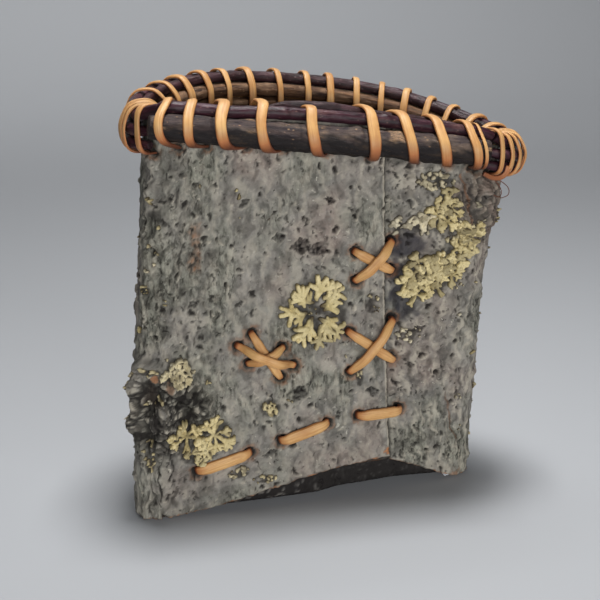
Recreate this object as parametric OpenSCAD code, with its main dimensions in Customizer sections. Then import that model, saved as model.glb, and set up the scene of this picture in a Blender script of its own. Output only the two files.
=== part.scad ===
// Bark basket: one bark sheet lapped round a turned-up bark bottom, with rim shoots lashed on by split root.
// Millimetres. X runs along the flat front from left to right, the front faces -Y, and Z is up.

/* [Bark] */
// Height of the bark above the floor at the middle of the mouth
wall_height = 166; // [150:1:180]
// Thickness of the bark
bark = 2.4; // [1.8:0.1:3]
// Half the width across the base
base_half_width = 76; // [70:1:82]
// Radius of the base's two front corners
base_corner = 10; // [8:1:14]
// Depth of the round back behind the front corners
back_depth = 50; // [44:1:58]
// Half the width across the mouth
mouth_half_width = 75; // [70:1:82]
// Radius of the mouth's left front corner
mouth_left_corner = 12; // [11:1:16]
// Radius of the mouth's right front corner
mouth_right_corner = 20; // [18:1:24]
// Distance from the front face to the middle plane
front_depth = 16; // [12:1:20]
// How far the mouth stands to the right of the base
lean = 10; // [0:1:14]
// Fall of the mouth for each millimetre to the right
mouth_fall = 0.12; // [0:0.01:0.16]
// Rise of the mouth for each millimetre to the back
back_rise = 0.05; // [0:0.01:0.08]
// How far the mouth's two ends dip
end_dip = 8; // [0:1:10]

/* [Seam and bottom] */
// Place of the seam, as a share of the front's straight run
seam_place = 0.738; // [0.65:0.002:0.8]
// Share of the front's run where the two ends of the sheet overlap
lap_share = 0.178; // [0.17:0.002:0.19]
// Height of the left panel's lower edge at the seam
left_arch = 14.5; // [8:0.5:18]
// Height of the right panel's lower edge at the seam
right_arch = 12.2; // [6:0.2:16]
// Radius of the bend where the bottom turns up at the front
bottom_bend = 5; // [4:0.5:8]
// How far the bottom's turned-up flap reaches above the star stitch
flap_over_star = 16.5; // [14:0.5:22]
// Height of the turned-up flap at its sides
flap_side_height = 42; // [40:1:50]
// How far the lower left burl swells out
left_burl = 3; // [0:0.5:4]
// Height of the lower left burl
left_burl_height = 46; // [40:1:52]
// How far the upper right burl swells out
right_burl = 2; // [0:0.5:3]
// Height of the upper right burl
right_burl_height = 124; // [116:1:130]

/* [Rim] */
// Diameter of the straight front branch
branch_d = 11; // [10:0.5:12]
// Diameter of the shoots outside the bark
outer_shoot_d = 5.2; // [4.8:0.1:5.6]
// Diameter of the two lower shoots outside the bark, round the ends and the back
low_shoot_d = 5; // [4.4:0.1:5.4]
// Diameter of the shoot on the bark's upper edge
top_shoot_d = 4.6; // [4.2:0.1:5]
// Diameter of the shoots inside the bark
inner_shoot_d = 5.7; // [5:0.1:6]
// Width of the split root lashing
lash_width = 4; // [3:0.1:4.2]
// Thickness of the split root lashing
lash_thick = 1.7; // [1.4:0.1:1.8]

/* [Stitches] */
// Width of the split root stitches
stitch_width = 4.6; // [4:0.1:5]
// Thickness of the split root stitches
stitch_thick = 1.8; // [1.4:0.1:2]
// Height of the upper cross stitch
upper_cross_height = 103; // [98:1:108]
// Half the height of the upper cross stitch
upper_cross_half = 6.2; // [5:0.2:8]
// Height of the lower cross stitch
lower_cross_height = 65.5; // [62:0.5:70]
// Half the height of the lower cross stitch
lower_cross_half = 9; // [7:0.5:10]
// Height of the star stitch
star_height = 67.5; // [64:0.5:70]

/* [Hidden] */

bark_grey = [0.42, 0.41, 0.4];
shoot_purple = [0.2, 0.13, 0.15];
shoot_brown = [0.3, 0.22, 0.17];
branch_brown = [0.27, 0.23, 0.22];
root_tan = [0.78, 0.56, 0.33];

// Clearances between pieces that touch
seat = 0.15;
lap_gap = 0.3;
// How sharply the mouth's ends dip
dip_power = 3;
// Small outward bow of the front face at the base and at the mouth
base_bulge = 2;
mouth_bulge = 1;
// Turn of the base against the mouth, as a slope in plan
base_turn = 0.1;
// How much the upright lines of the front lean back against the mouth's lean
front_slant = 0.1;
mouth_run = 2 * mouth_half_width - mouth_left_corner - mouth_right_corner;
seam = 1 + seam_place;
lap_start = seam - lap_share;
// Share of the front over which the under panel comes out to the surface
lap_ramp = 0.2;
// Share of the front over which inner pieces step back before the lap
lap_ease = 0.1;

function smooth(v) = let (c = max(0, min(1, v))) c * c * (3 - 2 * c);
function unit(v) = v / norm(v);
function mix(a, b, f) = a + (b - a) * f;

// A place round the basket is a number: 0 to 1 is the left corner, 1 to 2 the front,
// 2 to 3 the right corner and 3 to 4 the back, and whole turns repeat.
function plan(place, half, left, right, back, bulge) =
    let (
        part = floor(place) % 4,
        u = place - floor(place),
        side = right - left,
        along = u * (side + PI / 2 * left),
        left_angle = 180 + max(along - side, 0) / left * 180 / PI
    )
    part == 0 ? [left - half + left * cos(left_angle), max(side - along, 0) - side + left * sin(left_angle)] :
    part == 1 ? [left - half + (2 * half - left - right) * u, -right - bulge * (0.5 - 0.5 * cos(360 * u))] :
    part == 2 ? [half - right + right * cos(270 + 90 * u), right * sin(270 + 90 * u)] :
    [half * cos(180 * u), back * sin(180 * u)];

function plan_normal(place, half, left, right, back, bulge) =
    let (
        part = floor(place) % 4,
        u = place - floor(place),
        side = right - left,
        along = u * (side + PI / 2 * left),
        left_angle = 180 + max(along - side, 0) / left * 180 / PI
    )
    part == 0 ? [cos(left_angle), sin(left_angle)] :
    part == 1 ? unit([-bulge * PI * sin(360 * u) / (2 * half - left - right), -1]) :
    part == 2 ? [cos(270 + 90 * u), sin(270 + 90 * u)] :
    unit([cos(180 * u) / half, sin(180 * u) / back]);

function base_plan(place) =
    plan(place, base_half_width, base_corner, base_corner, back_depth, base_bulge)
    + [0, base_corner - front_depth];
function base_normal(place) =
    plan_normal(place, base_half_width, base_corner, base_corner, back_depth, base_bulge);
function mouth_plan(place) =
    plan(place, mouth_half_width, mouth_left_corner, mouth_right_corner, back_depth, mouth_bulge)
    + [0, mouth_right_corner - front_depth];
function mouth_normal(place) =
    plan_normal(place, mouth_half_width, mouth_left_corner, mouth_right_corner, back_depth, mouth_bulge);

function upright(place, t) =
    let (u = place - floor(place))
    floor(place) % 4 == 1 ? place + front_slant * (0.5 - t) * 4 * u * (1 - u) : place;

function top_height(place) =
    let (m = mouth_plan(upright(place, 1)))
    wall_height - mouth_fall * (m.x + lean) + back_rise * m.y - end_dip * pow(abs(m.x) / mouth_half_width, dip_power);

function wall_normal(place, t) =
    let (p = upright(place, t), n = unit(mix(base_normal(p), mouth_normal(p), t))) [n.x, n.y, 0];

// A point on the sheet's outer face, at share t of its height, moved out along its normal
function wall(place, t, out = 0) =
    let (
        p = upright(place, t),
        b = base_plan(p),
        m = mouth_plan(p),
        foot = [b.x, b.y + base_turn * b.x]
    )
    [
        mix(foot.x, m.x, t) + lean * pow(t, 1.5),
        mix(foot.y, m.y, t),
        t * top_height(place)
    ] + out * wall_normal(place, t);

function wall_at(place, height, out = 0) = wall(place, height / top_height(place), out);
// A point of the rim, measured from the bark's upper edge
function rim(place, out, above) = wall(place, 1 + above / top_height(place), out);

// How deep the sheet lies under its own lap, and how far pieces inside it step back for the lap
function inset(place) = (bark + lap_gap) * (1 - smooth((place - seam) / lap_ramp));
function cover(place) =
    let (q = place - 4 * floor(place / 4))
    (bark + lap_gap)
    * min(smooth((q - lap_start + lap_ease) / lap_ease), 1 - smooth((q - seam) / lap_ramp));

// Relief of the bark's outer face. Lengths along the sheet run from the front end of each front corner.
function front_run(height) = mix(2 * (base_half_width - base_corner), mouth_run, height / wall_height);
function corner_run(height, mouth_corner) = PI / 2 * mix(base_corner, mouth_corner, height / wall_height);
left_corner_run = corner_run(left_burl_height, mouth_left_corner)
    + (mouth_right_corner - mouth_left_corner) * left_burl_height / wall_height;
right_corner_run = corner_run(right_burl_height, mouth_right_corner);
function left_along(place) = (place - 5) * (place < 5 ? left_corner_run : front_run(left_burl_height));
function right_along(place) = (place - 2) * (place < 2 ? front_run(right_burl_height) : right_corner_run);

// The lower left burl is rolled bark round a knot hole, and the upper right one has upright ridges.
// Each stroke is [from, to, half width, rise].
// Its ends are [length along the sheet, height over the burl].
left_burl_place = 4.97;
left_burl_reach = 17;
left_strokes = [
    [[-11, 19], [-13, 11], 4, 2.8],
    [[-13, 11], [-12.5, -4], 4, 3],
    [[-12.5, -4], [-11, -12], 3.5, 2.4],
    [[-9, 20.5], [1, 20], 2.8, 3],
    [[0, 4], [-0.5, -8], 4.2, 4.6],
    [[3, 11.5], [10, 7.5], 3.4, 4.6],
    [[10, 7.5], [17, -0.5], 3.4, 3.2],
    [[-7, 9], [-6, 3], 4.2, -6],
    [[-7.5, -6], [-6.5, -10], 3, -6],
    [[6, 6], [11.5, -10], 1.8, -3.6],
    [[-0.5, -14.5], [6, -15], 2.6, 2.8]
];
right_burl_place = 2.1;
right_burl_reach = 14;
right_strokes = [
    [[23, 2], [24, -8], 6.5, 2],
    [[16, 9], [16, -8], 2.8, 1.8],
    [[9, 8], [11, -3], 2.8, 2],
    [[2, 12], [4, -8], 2.6, 1.8]
];
// Tufts of lichen as low rings: [place, height, radius, bare share of the radius]
tuft_rise = 1.4;
tuft_slope = 0.35;
left_tufts = [[5.5, 84.8, 15, 0.45], [5.145, 36, 9, 0.1], [5.06, 35, 8, 0.1], [5.02, 64, 7, 0.1]];
right_tufts = [[1.895, 95.5, 13, 0.2], [1.955, 99, 9, 0.2], [1.93, 122, 10, 0.1], [2.085, 110.5, 8, 0.1]];

function line_distance(p, a, b) =
    let (d = b - a, f = max(0, min(1, (p - a) * d / (d * d)))) norm(p - a - f * d);
function total(list) = list * [for (v = list) 1];
function swelling(p, centre, size, reach) = size * exp(-pow(norm(p - centre) / reach, 2));
function stroke(p, k) = k[3] * exp(-pow(line_distance(p, k[0], k[1]) / k[2], 2));
function stroke_sum(p, strokes) = total([for (k = strokes) stroke(p, k)]);
function tuft(r, radius, bare) =
    tuft_rise * smooth((radius - r) / (tuft_slope * radius)) * smooth(r / max(0.01, bare * radius) - 0.4);
function left_relief(place, z) =
    let (s = left_along(place), p = [s, z - left_burl_height])
    swelling(p, [left_along(left_burl_place), 0], left_burl, left_burl_reach)
    + stroke_sum(p, left_strokes)
    + max([for (k = left_tufts) tuft(norm([s - left_along(k[0]), z - k[1]]), k[2], k[3])]);
function right_relief(place, z) =
    let (s = right_along(place), p = [s, z - right_burl_height])
    swelling(p, [right_along(right_burl_place), 0], right_burl, right_burl_reach)
    + stroke_sum(p, right_strokes)
    + max([for (k = right_tufts) tuft(norm([s - right_along(k[0]), z - k[1]]), k[2], k[3])]);
// The relief fades out below the rim and under the lap, and never cuts far into the bark
rim_room = 16;
rim_ease = 9;
lap_room = 0.03;
function relief(place, z) =
    max(-0.5 * bark, place > 3.6 ? left_relief(place, z) : place < 3.4 ? right_relief(place, z) : 0)
    * smooth((top_height(place) - rim_room - z) / rim_ease)
    * smooth((place - seam) / lap_room);

// Rim shoots, as places in the rim's section: out from the bark's face, and above its edge
branch_r = branch_d / 2;
outer_r = outer_shoot_d / 2;
low_r = low_shoot_d / 2;
top_r = top_shoot_d / 2;
inner_r = inner_shoot_d / 2;
branch_drop = 7.1;
branch_y = -front_depth - mouth_bulge - branch_r - seat;
branch_left = lean - mouth_half_width - 1.5;
branch_right = lean + mouth_half_width - mouth_right_corner + 6;
branch_start = 0.72;
branch_stop = 2.14;
function branch_z(x) = wall_height - mouth_fall * x - back_rise * front_depth - branch_drop;
function branch_section(place) =
    let (
        q = place - 4 * floor(place / 4),
        edge = rim(q, 0, -branch_drop),
        n = wall_normal(q, 1),
        out = (branch_y - edge.y) / n.y
    )
    [out, branch_z(edge.x + out * n.x) - top_height(q), branch_r / abs(n.y)];

// The outer shoots stand off the bark round the two ends, the middle one the most
shoot_gap = 0.3;
right_flare = 5.6;
left_flare = 3.6;
upper_flare = 0.4;
lower_flare = 0.75;
function flare(place) =
    let (q = place - 4 * floor(place / 4), p = q < 1 ? q + 4 : q)
    right_flare * smooth((p - 2.05) / 0.6) * (1 - smooth((p - 3) / 0.25))
    + left_flare * smooth((p - 3.65) / 0.3) * (1 - smooth((p - 4.25) / 0.35));
function outer_out(place) = outer_r + shoot_gap + upper_flare * flare(place);
function middle_out(place) = low_r + shoot_gap + flare(place);
function lower_out(place) = low_r + shoot_gap + lower_flare * flare(place);
outer_upper_above = 1.9;
middle_above = outer_upper_above - outer_r - low_r - shoot_gap;
lower_above = middle_above - low_shoot_d - shoot_gap;

// The shoot on the edge is spliced on the front, where its first end climbs over the other shoots
top_start = 1.31;
top_stop = 5.24;
top_inset = 2.2;
top_gap = 0.4;
splice_rise = 1.8;
splice_climb = 0.1;
splice_stop = 1.53;
splice_fall = 0.25;
function top_out(place) = upper_flare * flare(place) - top_inset;
function top_above(place) =
    let (q = place - 4 * floor(place / 4))
    top_r + top_gap + splice_rise * smooth((q - top_start) / splice_climb)
    * (1 - smooth((q - splice_stop) / splice_fall));
function inner_out(place) = -bark - cover(place) - inner_r - seat;
inner_upper_above = -2.4;
inner_lower_above = inner_upper_above - inner_shoot_d - 0.4;

// The upper shoot rides over the branch, and comes down again past the branch's ends
function upper_rise(place) =
    let (
        q = place - 4 * floor(place / 4),
        b = branch_section(max(branch_start, min(branch_stop, q))),
        touch = b[2] + outer_r + 0.1,
        rise = b[1] + sqrt(max(0, pow(touch, 2) - pow(b[0] - outer_out(q), 2))) - outer_upper_above
    )
    max(0, rise) * smooth((q - branch_start + 0.4) / 0.4) * (1 - smooth((q - branch_stop) / 0.3));
function upper_above(place) = outer_upper_above + upper_rise(place);

function has_branch(place) = let (q = place - 4 * floor(place / 4)) q > branch_start && q < branch_stop;
function outer_sections(place) =
    has_branch(place) ? [branch_section(place)] :
    [[middle_out(place), middle_above, low_r], [lower_out(place), lower_above, low_r]];
function sections(place) = concat(
    outer_sections(place),
    [
        [outer_out(place), upper_above(place), outer_r],
        [top_out(place), top_above(place), top_r],
        [inner_out(place), inner_upper_above, inner_r],
        [inner_out(place), inner_lower_above, inner_r]
    ]);

// Reach of the rim's section in one direction, out to the middle of the lashing
lash_clear = 0.35;
function reach(place, angle) =
    max([for (s = sections(place)) s[0] * cos(angle) + s[1] * sin(angle) + s[2]])
    + lash_clear + lash_thick / 2;
function reach_corner(place, a, b) =
    let (ra = reach(place, a), rb = reach(place, b), d = sin(b - a))
    [(ra * sin(b) - rb * sin(a)) / d, (rb * cos(a) - ra * cos(b)) / d];

// Turns of the lashing: where each one crosses the top, and the hole where it ends
lash_start = 2.68;
back_holes = [3.04, 3.1, 3.17, 3.225, 3.28, 3.333, 3.385, 3.44, 3.485, 3.543, 3.605, 3.66, 3.71, 3.77, 3.825,
    3.89, 3.95];
corner_holes = [4.1, 4.5];
front_turns = [[4.8, 5.03], [5.05, 5.102], [5.147, 5.24], [5.294, 5.383], [5.475, 5.53], [5.645, 5.688],
    [5.764, 5.837], [5.883, 5.946]];
last_turns = [[6, 6.12], [6.26, 6.4], [6.54, 6.68]];
first_holes = concat(back_holes, corner_holes);
lash_turns = concat(
    [for (k = [0 : len(first_holes) - 1])
        let (before = k == 0 ? lash_start : first_holes[k - 1], hole = first_holes[k])
        [mix(before, hole, hole < 4 ? 0.25 : 0.5), hole]],
    front_turns,
    last_turns);
turns = len(lash_turns);
hole_places = concat([lash_start], [for (k = [0 : turns - 2]) lash_turns[k][1]]);

// The lashing goes in through a hole, up the inside, over the top and down the outside to the next hole
lash_angles = [-90, -135, -180, -225, -270, -315, -360, -405, -450];
lash_places = [
    for (k = [0 : turns - 1], j = [0 : 7])
        let (top = lash_turns[k][0], hole = lash_turns[k][1])
        if (k < turns - 1 || j < 7)
            j < 4 ? mix(hole_places[k], top, j / 4) : mix(top, hole, pow((j - 4) / 3, 1.5))
];
lash_points = [
    for (i = [0 : len(lash_places) - 1])
        let (c = reach_corner(lash_places[i], lash_angles[i % 8], lash_angles[i % 8 + 1]))
        rim(lash_places[i], c[0], c[1])
];
lash_sides = [for (p = lash_places) unit(rim(p + 0.01, 0, 0) - rim(p - 0.01, 0, 0))];
lash_gap = min([
    for (i = [0 : len(lash_points) - 1], j = [i + 5 : 1 : min(i + 16, len(lash_points) - 1)])
        norm(lash_points[i] - lash_points[j])
]) - lash_width;
echo(least_gap_between_lashing_turns = lash_gap);

// Swept solids: rings of points joined by triangles, with flat ends
function flat_section(w, h) =
    [[w / 2, 0], [0.3 * w, h / 2], [-0.3 * w, h / 2], [-w / 2, 0], [-0.3 * w, -h / 2], [0.3 * w, -h / 2]];
function round_section(r, sides) = [
    for (k = [0 : sides - 1]) r * [cos(360 * k / sides), sin(360 * k / sides)]];
function tangent(points, i) = unit(points[min(i + 1, len(points) - 1)] - points[max(i - 1, 0)]);
function ring(p, along, across, section) =
    let (n = unit(cross(along, across)), b = cross(n, along))
    [for (s = section) p + s.x * b + s.y * n];

module sweep(rings) {
    sides = len(rings[0]);
    last = len(rings) - 1;
    polyhedron(
        points = [for (r = rings) each r],
        faces = concat(
            [for (i = [0 : last - 1], j = [0 : sides - 1])
                let (k = (j + 1) % sides, a = i * sides, b = a + sides)
                each [[a + j, b + j, b + k], [a + j, b + k, a + k]]],
            [for (j = [1 : sides - 2]) [0, j, j + 1]],
            [for (j = [1 : sides - 2]) [last * sides, last * sides + j + 1, last * sides + j]]));
}

module strand(points, across, w, h) {
    section = flat_section(w, h);
    sweep([for (i = [0 : len(points) - 1]) ring(points[i], tangent(points, i), across[i], section)]);
}

// A shoot bent along the rim between two places, thinning to its two ends
module shoot(from, to, out, above, r, thin = 0.4, taper = 0.12) {
    steps = ceil((to - from) / 0.07);
    places = [for (k = [0 : steps]) mix(from, to, k / steps)];
    points = [for (p = places) rim(p, out(p), above(p))];
    sweep([for (k = [0 : steps])
        let (
            ends = min(places[k] - from, to - places[k]),
            radius = r * mix(thin, 1, smooth(ends / taper))
        )
        ring(points[k], tangent(points, k), [0, 0, 1], round_section(radius, 10))]);
}

// The sheet's columns stand at the edges of the lashing holes and between them
hole_half = (lash_width / 2 + 0.7) / mouth_run;
corner_hole_half = (lash_width / 2 + 0.7) / (PI / 2 * mouth_right_corner);
back_hole_half = (lash_width / 2 + 0.7) / (PI * sqrt(mouth_half_width * back_depth));
function half_hole(place) =
    let (part = floor(place) % 4) part == 1 ? hole_half : part == 3 ? back_hole_half : corner_hole_half;
sheet_holes = concat(
    [for (h = hole_places) if (h - 4 > lap_start + 0.03 && h - 4 < seam - 0.03) h - 4],
    [for (h = hole_places) if (h - 4 >= seam) h - 4],
    [for (h = hole_places) if (h < seam + 4) h]);
// Between two holes that stand closer than this there is no column
function column_room(place) = 2.4 * half_hole(place);
hole_columns = [for (h = sheet_holes) each [h - half_hole(h), h + half_hole(h)]];
sheet_columns = concat(
    [lap_start],
    [for (k = [0 : len(hole_columns) - 2])
        each k % 2 == 0 || hole_columns[k + 1] - hole_columns[k] < column_room(hole_columns[k])
            ? [hole_columns[k]]
            : [hole_columns[k], (hole_columns[k] + hole_columns[k + 1]) / 2]],
    [hole_columns[len(hole_columns) - 1], seam + 4]);
column_count = len(sheet_columns);

hole_rise = lash_thick / 2 + 0.8;
body_rows = 20;
function low_edge(place) =
    place < 2 ? right_arch * min(1, (2 - place) / (2 - seam)) :
    place > 5 ? left_arch * pow(sin(90 * (place - 5) / seam_place), 1.5) : 0;
function row_heights(place) =
    let (
        low = low_edge(place),
        top = top_height(place),
        hole = top - reach(place, -90)
    )
    concat(
        [for (k = [0 : body_rows]) mix(low, hole - hole_rise, k / body_rows)],
        [hole + hole_rise, top]);
row_count = body_rows + 3;
hole_row = body_rows;
function is_hole(i, j) = j == hole_row && len([for (h = sheet_holes)
    if (abs((sheet_columns[i] + sheet_columns[i + 1]) / 2 - h) < 0.001) h]) > 0;

module bark_sheet() {
    outer = [for (place = sheet_columns, z = row_heights(place))
        wall_at(place, z, relief(place, z) - inset(place))];
    inner = [for (place = sheet_columns, z = row_heights(place)) wall_at(place, z, -inset(place) - bark)];
    count = len(outer);
    rows = row_count;
    last = column_count - 1;
    polyhedron(
        points = concat(outer, inner),
        faces = concat(
            [for (i = [0 : last - 1], j = [0 : rows - 2])
                let (a = i * rows + j, b = a + rows)
                if (!is_hole(i, j)) each [[a, a + 1, b + 1], [a, b + 1, b]]],
            [for (i = [0 : last - 1], j = [0 : rows - 2])
                let (a = count + i * rows + j, b = a + rows)
                if (!is_hole(i, j)) each [[a, b + 1, a + 1], [a, b, b + 1]]],
            [for (i = [0 : last - 1], j = [0, rows - 1])
                let (a = i * rows + j, b = a + rows, c = a + count, d = b + count)
                each j == 0 ? [[a, b, d], [a, d, c]] : [[a, d, b], [a, c, d]]],
            [for (i = [0, last], j = [0 : rows - 2])
                let (a = i * rows + j, b = a + 1, c = a + count, d = b + count)
                each i == 0 ? [[a, d, b], [a, c, d]] : [[a, b, d], [a, d, c]]],
            [for (i = [0 : last - 1])
                let (a = i * rows + hole_row, b = a + rows)
                if (is_hole(i, hole_row)) each hole_sides([a, a + 1, b + 1, b], count)]));
}
// The four cut sides of a hole between the two faces of the sheet
function hole_sides(loop, count) = [for (k = [0 : 3])
    let (a = loop[k], b = loop[(k + 1) % 4]) each [[a, b, b + count], [a, b + count, a + count]]];

// Stitches: places on the front as [share of the run, height]
stitch_lift = stitch_thick / 2 + 0.1;
hole_r = stitch_width / 2 + 0.4;
hole_depth = 14;
function front_point(s, out) = wall_at(1 + s[0], s[1], out);
function front_across(a, b) =
    let (along = unit(front_point(b, 0) - front_point(a, 0)), n = wall_normal(1 + a[0], 0.5)) cross(n, along);
// One stitch from hole a to hole b over the outside, lifted by a bump where it crosses another
function span(a, b, a_depth, b_depth, bump = 0, b_in = 0) = [
    front_point(a, -a_depth),
    front_point(a, -0.5),
    front_point(mix(a, b, 0.12), stitch_lift),
    front_point(mix(a, b, 0.35), stitch_lift + bump),
    front_point(mix(a, b, 0.65), stitch_lift + bump),
    front_point(mix(a, b, 0.88), stitch_lift),
    front_point(b, -0.5 - b_in),
    front_point(b, -b_depth)];
function repeat(v, n) = [for (k = [1 : n]) v];

module stitch_hole(s) {
    n = wall_normal(1 + s[0], s[1] / wall_height);
    translate(front_point(s, -hole_depth))
        rotate([0, 90, atan2(n.y, n.x)])
            cylinder(r = hole_r, h = hole_depth + 10, $fn = 24);
}

// Cross stitches hold the seam: two holes left of it through both panels, two just right of it
upper_cross_reach = [12, 2.9];
lower_cross_reach = [15.5, 3.2];
cross_tilt = 3;
function cross_holes(height, half, reach) =
    let (left = seam_place - reach[0] / mouth_run, right = seam_place + reach[1] / mouth_run)
    [
        [left, height + half],
        [right, height - half + cross_tilt],
        [left, height - half],
        [right, height + half + cross_tilt]
    ];
upper_cross = cross_holes(upper_cross_height, upper_cross_half, upper_cross_reach);
lower_cross = cross_holes(lower_cross_height, lower_cross_half, lower_cross_reach);
module cross_stitch(holes) {
    depth = 2 * bark + lap_gap + seat + stitch_thick / 2;
    first = front_across(holes[0], holes[1]);
    second = front_across(holes[2], holes[3]);
    points = concat(
        span(holes[0], holes[1], depth, depth, 0, bark),
        span(holes[2], holes[3], depth, depth, stitch_thick + 0.6, bark));
    strand(points, concat(repeat(first, 8), repeat(second, 8)), stitch_width, stitch_thick);
}

// The star: three stitches through one middle, each over the last
star_middle = [0.32, star_height];
star_turns = [-62, 23, -26];
star_lengths = [22.5, 14.5, 24];
function star_end(k, side) = star_middle + side * star_lengths[k] / 2
    * [cos(star_turns[k]) / mouth_run, sin(star_turns[k])];
star_holes = [for (k = [0 : 2], side = [-1, 1]) star_end(k, side)];

// Running stitches along the base
base_starts = [0.1, 0.36, 0.63];
base_stitch_share = 0.155;
base_stitch_low = 16;
base_stitch_high = 36;
function base_height(u) = min(base_stitch_low + base_stitch_high * u, base_stitch_high);
base_holes = [for (u = base_starts, side = [0, 1])
    let (v = u + side * base_stitch_share) [v, base_height(v)]];
function flap_depth(u) = 2 * bark + cover(1 + u) + 0.2 + seat + stitch_thick / 2;

module bark_wall() {
    color(bark_grey)
        difference() {
            bark_sheet();
            for (s = concat(upper_cross, lower_cross, star_holes, base_holes)) stitch_hole(s);
        }
}

// The bottom lies inside the sheet and turns up behind the front as a rounded flap
flap_columns = 24;
flap_rows = 6;
bend_rows = 4;
flap_shares = [for (k = [0 : flap_columns]) mix(0.03, 0.97, k / flap_columns)];
function flap_top(u) =
    flap_side_height + (star_height + flap_over_star - flap_side_height)
    * pow(max(0, cos(min(90, abs(u - star_middle[0]) * mouth_run * 90 / 34))), 0.6);
function flap_column(u, face) =
    let (depth = bark + 0.2 + cover(1 + u), r = bottom_bend - face * bark)
    concat(
        [for (k = [0 : bend_rows - 1])
            let (a = 90 * (1 - k / bend_rows))
            wall_at(1 + u, bottom_bend - r * sin(a), -(depth + bottom_bend - r * cos(a)))],
        [for (k = [0 : flap_rows])
            wall_at(1 + u, mix(bottom_bend, flap_top(u), k / flap_rows), -(depth + face * bark))]);

module bottom_sheet() {
    rows = bend_rows + flap_rows + 1;
    flap = [for (face = [0, 1]) each [for (u = flap_shares) each flap_column(u, face)]];
    rim_places = [for (k = [0 : 40]) 2 + 3 * k / 40];
    outline = [for (z = [0, bark]) each [for (p = rim_places)
        let (w = wall(p < 5 ? p : 4.999, 0, -(bark + 0.2))) [w.x, w.y, z]]];
    n = flap_columns;
    count = (n + 1) * rows;
    base = 2 * count;
    edge = len(rim_places);
    polyhedron(
        points = concat(flap, outline),
        faces = concat(
            [for (i = [0 : n - 1], j = [0 : rows - 2])
                let (a = i * rows + j, b = a + rows)
                each [[a, a + 1, b + 1], [a, b + 1, b]]],
            [for (i = [0 : n - 1], j = [0 : rows - 2])
                let (a = count + i * rows + j, b = a + rows)
                each [[a, b + 1, a + 1], [a, b, b + 1]]],
            [for (i = [0 : n - 1])
                let (a = i * rows + rows - 1, b = a + rows)
                each [[a, b + count, b], [a, a + count, b + count]]],
            [for (i = [0, n], j = [0 : rows - 2])
                let (a = i * rows + j, b = a + 1, c = a + count, d = b + count)
                each i == 0 ? [[a, d, b], [a, c, d]] : [[a, b, d], [a, d, c]]],
            [for (k = [0 : edge - 2])
                let (a = base + k, b = a + 1, c = a + edge, d = b + edge)
                each [[a, d, b], [a, c, d]]],
            let (a = n * rows, b = base)
            [[a, b + edge, b], [a, a + count, b + edge]],
            let (a = base + edge - 1, b = 0)
            [[a, b + count, b], [a, a + edge, b + count]],
            [concat([for (i = [0 : n]) i * rows], [for (k = [0 : edge - 1]) base + k])],
            [concat(
                [for (k = [edge - 1 : -1 : 0]) base + edge + k],
                [for (i = [n : -1 : 0]) count + i * rows])]));
}

module bark_bottom() {
    color(bark_grey * 0.85)
        difference() {
            bottom_sheet();
            for (s = concat(star_holes, base_holes)) stitch_hole(s);
        }
}

module rim_branch_front() {
    color(branch_brown)
        translate([branch_left, branch_y, branch_z(branch_left)])
            rotate([0, 90 + atan(mouth_fall), 0])
                cylinder(r = branch_r, h = (branch_right - branch_left) / cos(atan(mouth_fall)), $fn = 32);
}

// Routes of the shoots in the rim's section
outside = function (p) outer_out(p);
outside_middle = function (p) middle_out(p);
outside_lower = function (p) lower_out(p);
on_edge = function (p) top_out(p);
inside = function (p) inner_out(p);
over_branch = function (p) upper_above(p);
over_splice = function (p) top_above(p);
level = function (height) function (p) height;

module rim_shoot_outer_upper() {
    color(shoot_purple) shoot(2.3, 6.26, outside, over_branch, outer_r, 0.6, 0.08);
}

module rim_shoot_outer_middle() {
    color(shoot_purple)
        shoot(2.21, 4.6, outside_middle, level(middle_above), low_r, 0.7, 0.08);
}

module rim_shoot_outer_lower() {
    color(shoot_purple)
        shoot(2.21, 4.6, outside_lower, level(lower_above), low_r, 0.7, 0.08);
}

module rim_shoot_top() {
    color(shoot_purple) shoot(top_start, top_stop, on_edge, over_splice, top_r, 0.35, 0.16);
}

module rim_shoot_inner_upper() {
    color(shoot_brown) shoot(3.1, 7.06, inside, level(inner_upper_above), inner_r, 0.6, 0.08);
}

module rim_shoot_inner_lower() {
    color(shoot_brown) shoot(2.5, 6.46, inside, level(inner_lower_above), inner_r, 0.6, 0.08);
}

module rim_lashing() {
    color(root_tan) strand(lash_points, lash_sides, lash_width, lash_thick);
}

module seam_cross_stitch_upper() {
    color(root_tan) cross_stitch(upper_cross);
}

module seam_cross_stitch_lower() {
    color(root_tan) cross_stitch(lower_cross);
}

module star_stitch() {
    points = [for (k = [0 : 2]) each
        let (depth = flap_depth(star_middle[0]) + k * 0.8)
        span(star_holes[2 * k], star_holes[2 * k + 1], depth, depth, k * (stitch_thick + 0.5))];
    across = [for (k = [0 : 2]) each repeat(front_across(star_holes[2 * k], star_holes[2 * k + 1]), 8)];
    color(root_tan) strand(points, across, stitch_width, stitch_thick);
}

module base_stitches() {
    points = [for (k = [0 : 2]) each
        let (a = base_holes[2 * k], b = base_holes[2 * k + 1])
        span(a, b, flap_depth(a[0]), flap_depth(b[0] + 0.03))];
    across = [for (k = [0 : 2]) each repeat(front_across(base_holes[2 * k], base_holes[2 * k + 1]), 8)];
    color(root_tan) strand(points, across, stitch_width, stitch_thick);
}

bark_wall();
bark_bottom();
rim_branch_front();
rim_shoot_outer_upper();
rim_shoot_outer_middle();
rim_shoot_outer_lower();
rim_shoot_top();
rim_shoot_inner_upper();
rim_shoot_inner_lower();
rim_lashing();
seam_cross_stitch_upper();
seam_cross_stitch_lower();
star_stitch();
base_stitches();
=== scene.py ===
"""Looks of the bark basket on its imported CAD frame: bark sheets, rim shoots, split root and lichen."""

import math

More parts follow.
